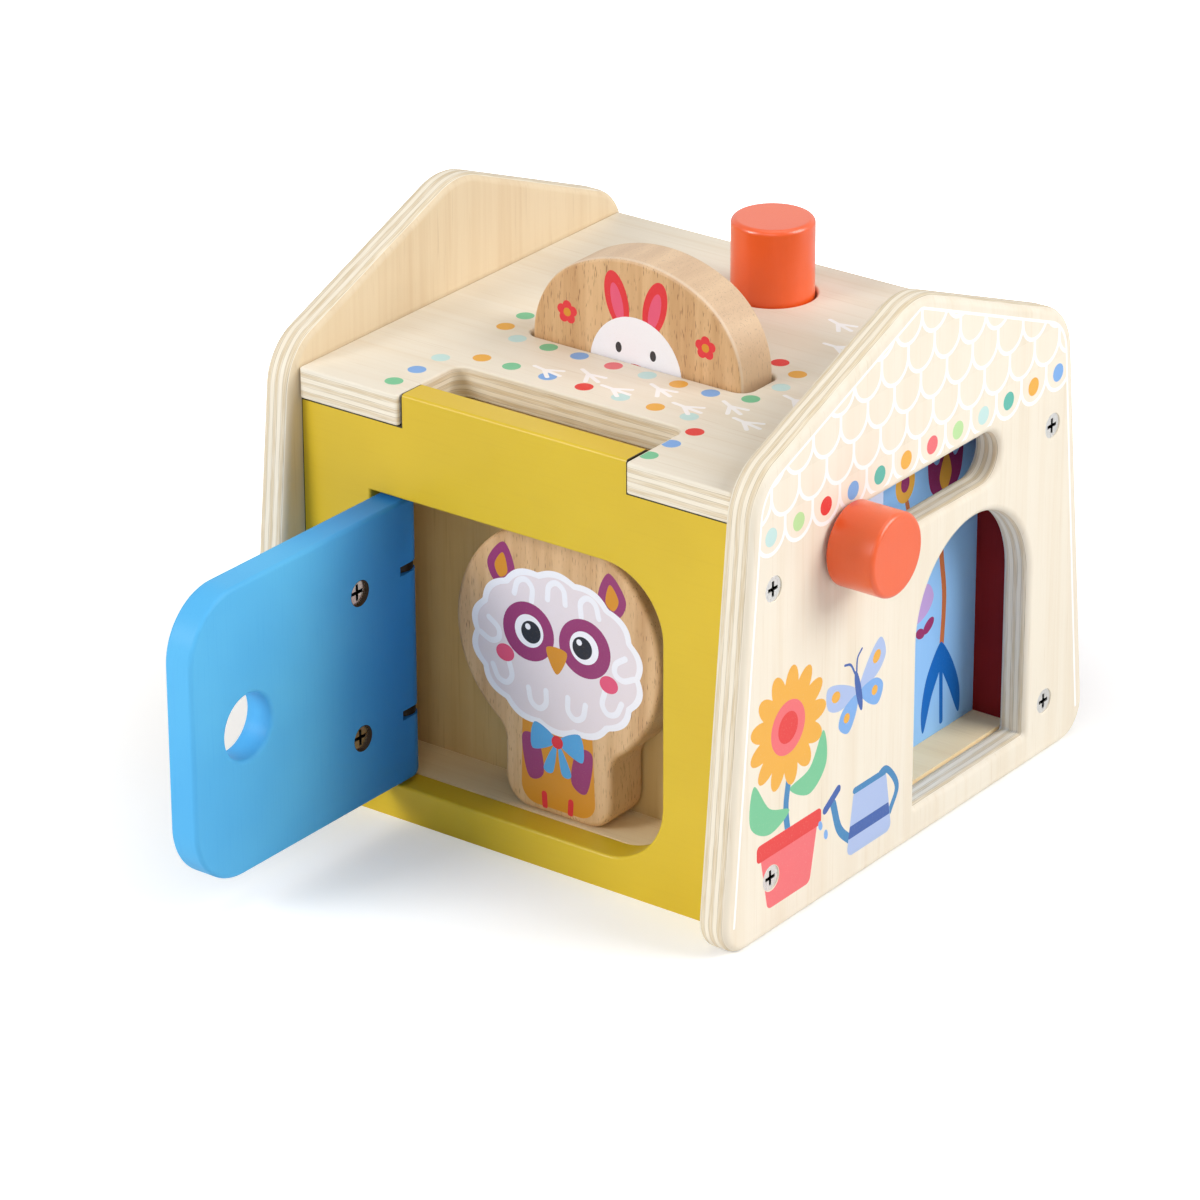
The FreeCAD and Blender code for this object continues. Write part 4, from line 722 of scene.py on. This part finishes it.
def beech(name, grain, face=None):
    """Beech: warm wood with soft bands and short dark flecks, all along one axis. On a figure,
    whose face lies across Y, the edge is made paler and greyer with painted light, and its
    rounding palest, a painted highlight with a little wear."""
    def paint(place):
        band = place.noise(*lengths(1, grain, 34, 4.5, 70), 3.0, 0.9).ramp(0.3, 0.72)
        fine = place.noise(*lengths(1, grain, 1.2, 0.5, 9), 3.0, 3.3)
        fleck = place.noise(*lengths(1, grain, 0.32, 0.32, 3.0), 1.0, 8.8).ramp(0.62, 0.72)
        wood = (band * 0.75 + fine.ramp(0.5, 0.8) * 0.3).blend(linear(*WOOD_LIGHT), linear(*WOOD_DARK))
        wood = (fleck * 0.7).blend(wood, linear(*WOOD_FLECK))
        if face is not None:
            # Painted light: the whole edge is paler, and its rounding palest, a painted highlight with a
            # little wear.
            depth = place.split()[1] / MM - face
            pale = depth.ramp(0.1, 0.7) * 0.3 + depth.ramp(0.2, 0.5) * (1.5 - depth).ramp(0, 0.6) * 0.25
            wood = pale.blend(wood, linear(*WOOD_EDGE_HIGHLIGHT))
        colour, roughness = with_ink(place, wood, 0.5)
        relief = bumped(fine - fleck * 0.6, 0.04, 0.5)
        return {"Base Color": colour, "Roughness": roughness, "Normal": relief,
                "Coat Weight": 0.1, "Coat Roughness": 0.3}
    return material(name, paint)


INK_RED, INK_PINK, INK_PALE = linear(222, 40, 52), linear(228, 84, 120), linear(232, 220, 224)
INK_PLUM, INK_OCHRE, INK_BLUE = linear(150, 52, 108), linear(214, 142, 28), linear(84, 166, 222)
INK_WHITE = linear(244, 242, 248)
FIGURE_FACE, FIGURE_THICKNESS, FIGURE_ROUNDING = -16.05, 14.5, 1.1
FIGURE_HALF, FIGURE_FOOT, FOOT_HALF, FOOT_TOP = 34, 86.9, 39, 94.9
CROWN_LEVEL, CROWN, SHOULDER_LEVEL, SHOULDER, SHOULDER_X, SHOULDER_ANGLE = 109.9, 43, 124.9, 26, 8, 61.93
FOOT_ROUND, FOOT_HOLLOW = 1.2, 0.5
foot_x, foot_low, foot_high = FOOT_HALF - FOOT_ROUND, FIGURE_FOOT + FOOT_ROUND, FOOT_TOP - FOOT_ROUND
hollow_x, hollow_z = FIGURE_HALF + FOOT_HOLLOW, FOOT_TOP + FOOT_HOLLOW
figure_outline = np.concatenate([
    arc(-foot_x, foot_low, FOOT_ROUND, 180, 270, 4), arc(foot_x, foot_low, FOOT_ROUND, 270, 360, 4),
    arc(foot_x, foot_high, FOOT_ROUND, 0, 90, 4), arc(hollow_x, hollow_z, FOOT_HOLLOW, 270, 180, 4),
    arc(SHOULDER_X, SHOULDER_LEVEL, SHOULDER, 0, SHOULDER_ANGLE)[:-1],
    arc(0, CROWN_LEVEL, CROWN, SHOULDER_ANGLE, 180 - SHOULDER_ANGLE, 30),
    arc(-SHOULDER_X, SHOULDER_LEVEL, SHOULDER, 180 - SHOULDER_ANGLE, 180)[1:],
    arc(-hollow_x, hollow_z, FOOT_HOLLOW, 0, -90, 4), arc(-foot_x, foot_high, FOOT_ROUND, 90, 180, 4)])
# A rabbit: red ears with pink inside, a white head, dots for eyes, and red flowers round it.
rabbit = []
for flip in (-1, 1):
    rabbit += [(INK_RED, oval(6.2 * flip, 141.0, 3.7, 8.0, -14 * flip)),
               (INK_PINK, oval(6.1 * flip, 140.2, 1.8, 5.4, -14 * flip))]
rabbit += [(INK_RED, rounded_path([(-11, 98), (11, 98), (8, 108), (-8, 108)], 2.5, 6)),
           (INK_WHITE, oval(0, 121.5, 15.0, 15.6, steps=56))]
for flip in (-1, 1):
    rabbit += [(BLACK, oval(5.6 * flip, 127.6, 1.0, 1.5, steps=20)),
               (INK_PINK, oval(9.4 * flip, 121.6, 2.5, 2.0, steps=24)),
               (BLACK, line(curve([(0, 119.6), (1.6 * flip, 117.6), (3.8 * flip, 118.4)]), 0.6))]
rabbit.append((INK_RED, curve([(-2.0, 123.6), (2.0, 123.6), (0, 120.6)], True)))
for x, y in ((-22.5, 133.5), (22.5, 134), (-24.5, 111.5), (24.5, 112)):
    for bearing in range(90, -270, -72):
        rabbit.append((INK_RED, oval(*moved([(1.9, 0)], x, y, bearing)[0], 1.45, steps=18)))
    rabbit.append((INK_OCHRE, oval(x, y, 1.2, steps=18)))
figure = sheet("figure", [figure_outline], FIGURE_THICKNESS, FIGURE_ROUNDING, (0, FIGURE_FACE, 0),
               (1, 0, 0), (0, 0, 1), rabbit)
dress(figure, beech("figure_beech", 2, FIGURE_FACE), "figure", "beech", "pop_up_figure")

# The posted one is round above and straight below. An owl: a ruffled pale body with curls of
# white, plum rings round its eyes, plum tufts, and an ochre front with wings and a blue bow.
HEAD_X, HEAD_Z, HEAD_RADIUS, TRUNK_HALF, NECK, TRUNK_ROUND = 6.3, 60.5, 33.5, 17.6, 7, 8
TRUNK_FOOT, POSTED_FACE, POSTED_ROUNDING = -50.3, -59.75, 1.6
neck_x = TRUNK_HALF + NECK
neck_z = -math.sqrt((HEAD_RADIUS + NECK) ** 2 - neck_x ** 2)
neck_angle = math.degrees(math.atan2(-neck_z, neck_x))
owl_outline = np.concatenate([
    arc(TRUNK_ROUND - TRUNK_HALF, TRUNK_FOOT + TRUNK_ROUND, TRUNK_ROUND, 180, 270, 14),
    arc(TRUNK_HALF - TRUNK_ROUND, TRUNK_FOOT + TRUNK_ROUND, TRUNK_ROUND, 270, 360, 14),
    arc(neck_x, neck_z, NECK, 180, 180 - neck_angle, 12)[:-1],
    arc(0, 0, HEAD_RADIUS, -neck_angle, 180 + neck_angle, 90)[:-1],
    arc(-neck_x, neck_z, NECK, neck_angle, 0, 12)])
ruffle_angle = np.linspace(0, 2 * math.pi, 220, endpoint=False)
ruffle_reach = 1 + 0.055 * np.abs(np.sin(ruffle_angle * 7))[:, None]
ruffle_round = np.stack([np.cos(ruffle_angle), np.sin(ruffle_angle)], 1)
ruffle = ruffle_round * ruffle_reach * (27.0, 22.5) - (0, 2.5)
owl = [(INK_OCHRE, rounded_path([(-12.0, -48.2), (12.6, -48.2), (11.4, -20), (-11.4, -20)],
                                [5, 5, 2, 2], 8))]
for flip in (-1, 1):
    owl += [
        (INK_PLUM, curve([(13.5 * flip, 17.0), (17 * flip, 25.4), (22.6 * flip, 18.8),
                          (19.6 * flip, 13.0)], True)),
        (INK_OCHRE, curve([(16.0 * flip, 17.0), (17.4 * flip, 22.2), (20.2 * flip, 18.4),
                           (18.6 * flip, 15.0)], True)),
        (INK_PLUM, curve([(11.6 * flip, -29.0), (9.6 * flip, -40.5), (4.6 * flip, -38.6),
                          (6.4 * flip, -29.0)], True)),
        (INK_RED, line([(4.2 * flip, -48.0), (4.4 * flip, -44.6)], 1.8))]
owl += [(INK_WHITE, ruffle), (INK_PALE, ruffle * (0.93, 0.92) + (0, -0.2))]
CURLS = ((-17.5, -12.5, 20), (-6.2, -17.0, 6), (6.2, -17.0, -6), (17.5, -12.5, -20), (-21.5, -1.5, 60),
         (21.5, -1.5, -60), (-10.5, 13.6, 170), (0, 15.2, 180), (10.5, 13.6, 190))
curl = line(curve([(-2.9, 2.6), (-2.4, -1.2), (0, -2.8), (2.4, -1.2), (2.9, 2.6)]), 1.7)
owl += [(INK_WHITE, moved(curl, *spot)) for spot in CURLS]
for flip in (-1, 1):
    owl += [
        (INK_PLUM, oval(9.2 * flip, 1.6, 8.4, steps=44)), (INK_WHITE, oval(9.0 * flip, 1.8, 4.7)),
        (BLACK, oval(8.4 * flip, 1.6, 3.2)), (INK_WHITE, oval(8.4 * flip - 1.0, 3.0, 0.9, steps=16)),
        (INK_PINK, oval(17.0 * flip, -6.6, 3.0, 2.5, steps=26)),
        (INK_BLUE, curve([(0.2 * flip, -28.0), (7.4 * flip, -24.0), (8.2 * flip, -32.0)], True)),
        (INK_BLUE, curve([(0.4 * flip, -28.5), (4.6 * flip, -36.6), (1.4 * flip, -37.2)], True))]
owl += [(INK_OCHRE, curve([(-3.4, -1.4), (3.4, -1.4), (0, -8.4)], True)),
        (INK_RED, oval(0, -28.2, 1.9, steps=20))]
posted = sheet("posted_figure", [owl_outline], FIGURE_THICKNESS, POSTED_ROUNDING,
               (HEAD_X, POSTED_FACE, HEAD_Z), (1, 0, 0), (0, 0, 1), owl)
bare_beech = beech("beech", 2)
dress(posted, bare_beech, "posted", "beech", "posting_figure")

# Sliding picture: a pale sheet behind the slot, printed with a snail, that the knob draws
# across the window.
PICTURE_FACE, PICTURE_THICKNESS = 68.9, 9
spiral_angle = np.linspace(0, 5.2 * math.pi, 60)
spiral_reach = 1.2 + 0.66 * spiral_angle
spiral = np.stack([spiral_reach * np.cos(spiral_angle), spiral_reach * np.sin(spiral_angle)], 1)
picture_inks = [
    (TEAL, curve([(-53, 22), (-38, 19.5), (-18, 20), (-9.5, 27), (-8.5, 44), (-13.5, 46), (-17, 36),
                  (-26, 31), (-46, 27)], True)),
    (TEAL, line(curve([(-10, 44), (-8.6, 50), (-5.8, 54)]), 1.4)),
    (TEAL, line(curve([(-12.6, 44), (-14.6, 50), (-14.2, 55)]), 1.4)),
    (OCHRE, oval(-33, 39.5, 14.6, steps=60)), (PLUM, moved(line(spiral, 1.6), -33, 39.5)),
    (BLACK, oval(-11.6, 39.6, 0.9, 1.3, steps=16)), (ROSE, oval(-14.6, 35.8, 1.9, 1.5, steps=20)),
    (GREEN, curve([(-56, 18.5), (-40, 15), (-20, 16.5), (-4.5, 14.5), (-4.5, 12), (-56, 12)], True)),
    (ROSE, oval(-50, 66, 3.2)), (OCHRE, oval(-22, 72, 3.2)),
    (BLUE, oval(-38, 80, 3.2)), (RED, oval(-10, 84, 3.2)),
]
picture_outline = rounded_path(box(-60, 10.4, -0.6, 112), [0.6, 0.6, CUT_CORNER, CUT_CORNER])
picture = sheet("picture", [picture_outline], PICTURE_THICKNESS, 0.5, (PICTURE_FACE, 0, 0),
                (0, 1, 0), (0, 0, 1), picture_inks)
lilac_paint = painted("lilac_paint", (206, 216, 244), (196, 206, 238), 2, 0.42, 0.04)
dress(picture, lilac_paint, "slider", "picture_board", "sliding_picture")

# Knob and push button: turned beech, painted orange. The knob's spacer, the button's washer,
# the rocker, its posts and the guides under the roof are bare beech.
TURN_STEPS = 96


def turned(name, outline, middle, axis):
    """A turned piece: the half of a symmetric outline where the radius is positive, carried
    round an axis. Its two flat ends are closed with one face each."""
    half = outline[outline[:, 0] > 0]
    angle = np.linspace(0, 2 * math.pi, TURN_STEPS, endpoint=False)[:, None]

    def swept(radius, level):
        levels = np.broadcast_to(level, (TURN_STEPS, len(half)))
        ring = [radius * np.cos(angle), radius * np.sin(angle), levels]
        return np.stack(ring if axis == 2 else [ring[2], ring[0], ring[1]], 2).reshape(-1, 3)

    index = np.arange(TURN_STEPS * len(half)).reshape(TURN_STEPS, len(half))
    along = np.roll(index, -1, 0)
    quads = np.stack([index[:, :-1], along[:, :-1], along[:, 1:], index[:, 1:]], 2).reshape(-1, 4)
    mesh = bpy.data.meshes.new(name)
    faces = [*quads.tolist(), index[::-1, 0].tolist(), index[:, -1].tolist()]
    mesh.from_pydata((swept(half[:, 0], half[:, 1]) + middle) * MM, [], faces)
    mesh.shade_smooth()
    mesh.normals_split_custom_set_from_vertices(swept(half[:, 2], half[:, 3]))
    return bpy.data.objects.new(name, mesh)


orange = painted("orange_paint", (238, 90, 16), (232, 80, 12), 2, 0.36, 0.05, 0.6)
KNOB_RADIUS, KNOB_LENGTH, KNOB_PLACE = 11.5, 14.5, (80, -32.3, 99.8)
knob_outline = rounded_path(box(-KNOB_RADIUS, 0, KNOB_RADIUS, KNOB_LENGTH), [0.8, 0.8, 1.3, 1.3])
dress(turned("knob", knob_outline, KNOB_PLACE, 0), orange, "slider", "orange_wood", "slide_knob")
NOSE_RADIUS, NOSE_FOOT, BUTTON_RADIUS, BUTTON_FOOT, BUTTON_TOP = 6.5, 105.9, 11.5, 115.2, 146.2
button_outline = rounded_path(
    [(-NOSE_RADIUS, NOSE_FOOT), (NOSE_RADIUS, NOSE_FOOT), (NOSE_RADIUS, BUTTON_FOOT),
     (BUTTON_RADIUS, BUTTON_FOOT), (BUTTON_RADIUS, BUTTON_TOP), (-BUTTON_RADIUS, BUTTON_TOP),
     (-BUTTON_RADIUS, BUTTON_FOOT), (-NOSE_RADIUS, BUTTON_FOOT)],
    [0.5, 0.5, 0.3, 0.6, 1.6, 1.6, 0.6, 0.3])
button = turned("button", button_outline, (0, BUTTON_MIDDLE, 0), 2)
dress(button, orange, "button", "orange_wood", "push_button")
refinish(bare_beech, "knob_spacer", "button_washer", "rocker_lever", "rocker_post_left",
         "rocker_post_right", "figure_guide_left", "figure_guide_right", "roof_dowels")

# Floor, backdrop and light: a white table with a painted glow that only the camera sees, growing
# away from the house and washing out its shadows there, a white backdrop, and four soft lamps.
FLOOR_SIZE = 6.0
table = bpy.data.meshes.new("table")
table_corners = [(x, y, 0) for x, y in box(-FLOOR_SIZE, -FLOOR_SIZE, FLOOR_SIZE, FLOOR_SIZE)]
table.from_pydata(table_corners, [], [(0, 1, 2, 3)])
table_top = bpy.data.objects.new("table_top", table)
bpy.context.scene.collection.objects.link(table_top)

white = bpy.data.materials.new("white_table")
white.use_nodes = True
tree = white.node_tree
shader = tree.nodes["Principled BSDF"]
shader.inputs["Base Color"].default_value = (0.86, 0.86, 0.86, 1)
shader.inputs["Roughness"].default_value = 0.9
seen = Signal(tree.nodes.new("ShaderNodeLightPath").outputs["Is Camera Ray"])
spot = Signal(tree.nodes.new("ShaderNodeTexCoord").outputs["Object"])
far = spot.node("ShaderNodeVectorMath", {"operation": "LENGTH"}, {0: spot}, 1).ramp(0.09, 0.32)
glow = seen.node("ShaderNodeEmission", {}, {"Color": (1, 1, 1, 1), "Strength": seen * (0.24 + far * 0.9)})
both = seen.node("ShaderNodeAddShader", {}, {0: Signal(shader.outputs[0]), 1: glow})
tree.links.new(both.socket, tree.nodes["Material Output"].inputs["Surface"])
table.materials.append(white)

world = bpy.data.worlds.new("studio")
bpy.context.scene.world = world
world.use_nodes = True
sky = world.node_tree.nodes["Background"]
path = world.node_tree.nodes.new("ShaderNodeLightPath").outputs
mirrored = Signal(path["Is Camera Ray"]).math("MAXIMUM", Signal(path["Is Glossy Ray"]))
world.node_tree.links.new(mirrored.blend((0.97, 0.98, 1.0, 1), (1, 1, 1, 1)).socket, sky.inputs["Color"])
world.node_tree.links.new((mirrored * 0.9 + 0.1).socket, sky.inputs["Strength"])


def softbox(name, place, aim, size, power):
    """A square lamp of a size in metres, at a place and facing another."""
    lamp = bpy.data.lights.new(name, "AREA")
    lamp.size = size
    lamp.energy = power
    holder = bpy.data.objects.new(name, lamp)
    away = Vector(place) - Vector(aim)
    holder.location = place
    holder.rotation_euler = away.to_track_quat("Z", "Y").to_euler()
    bpy.context.scene.collection.objects.link(holder)


softbox("top_box", (0.1, 0.1, 1.5), (0, 0, 0.1), 1.2, 5.2)
softbox("right_box", (1.8, 0.8, 1.3), (0, 0, 0.08), 1.5, 44)
softbox("front_box", (-0.85, -1.6, 0.95), (0, 0, 0.07), 0.8, 24)
softbox("fill_box", (0.85, -1.6, 1.0), (0, 0, 0.07), 0.9, 5)
bpy.context.scene.view_settings.view_transform = "Standard"
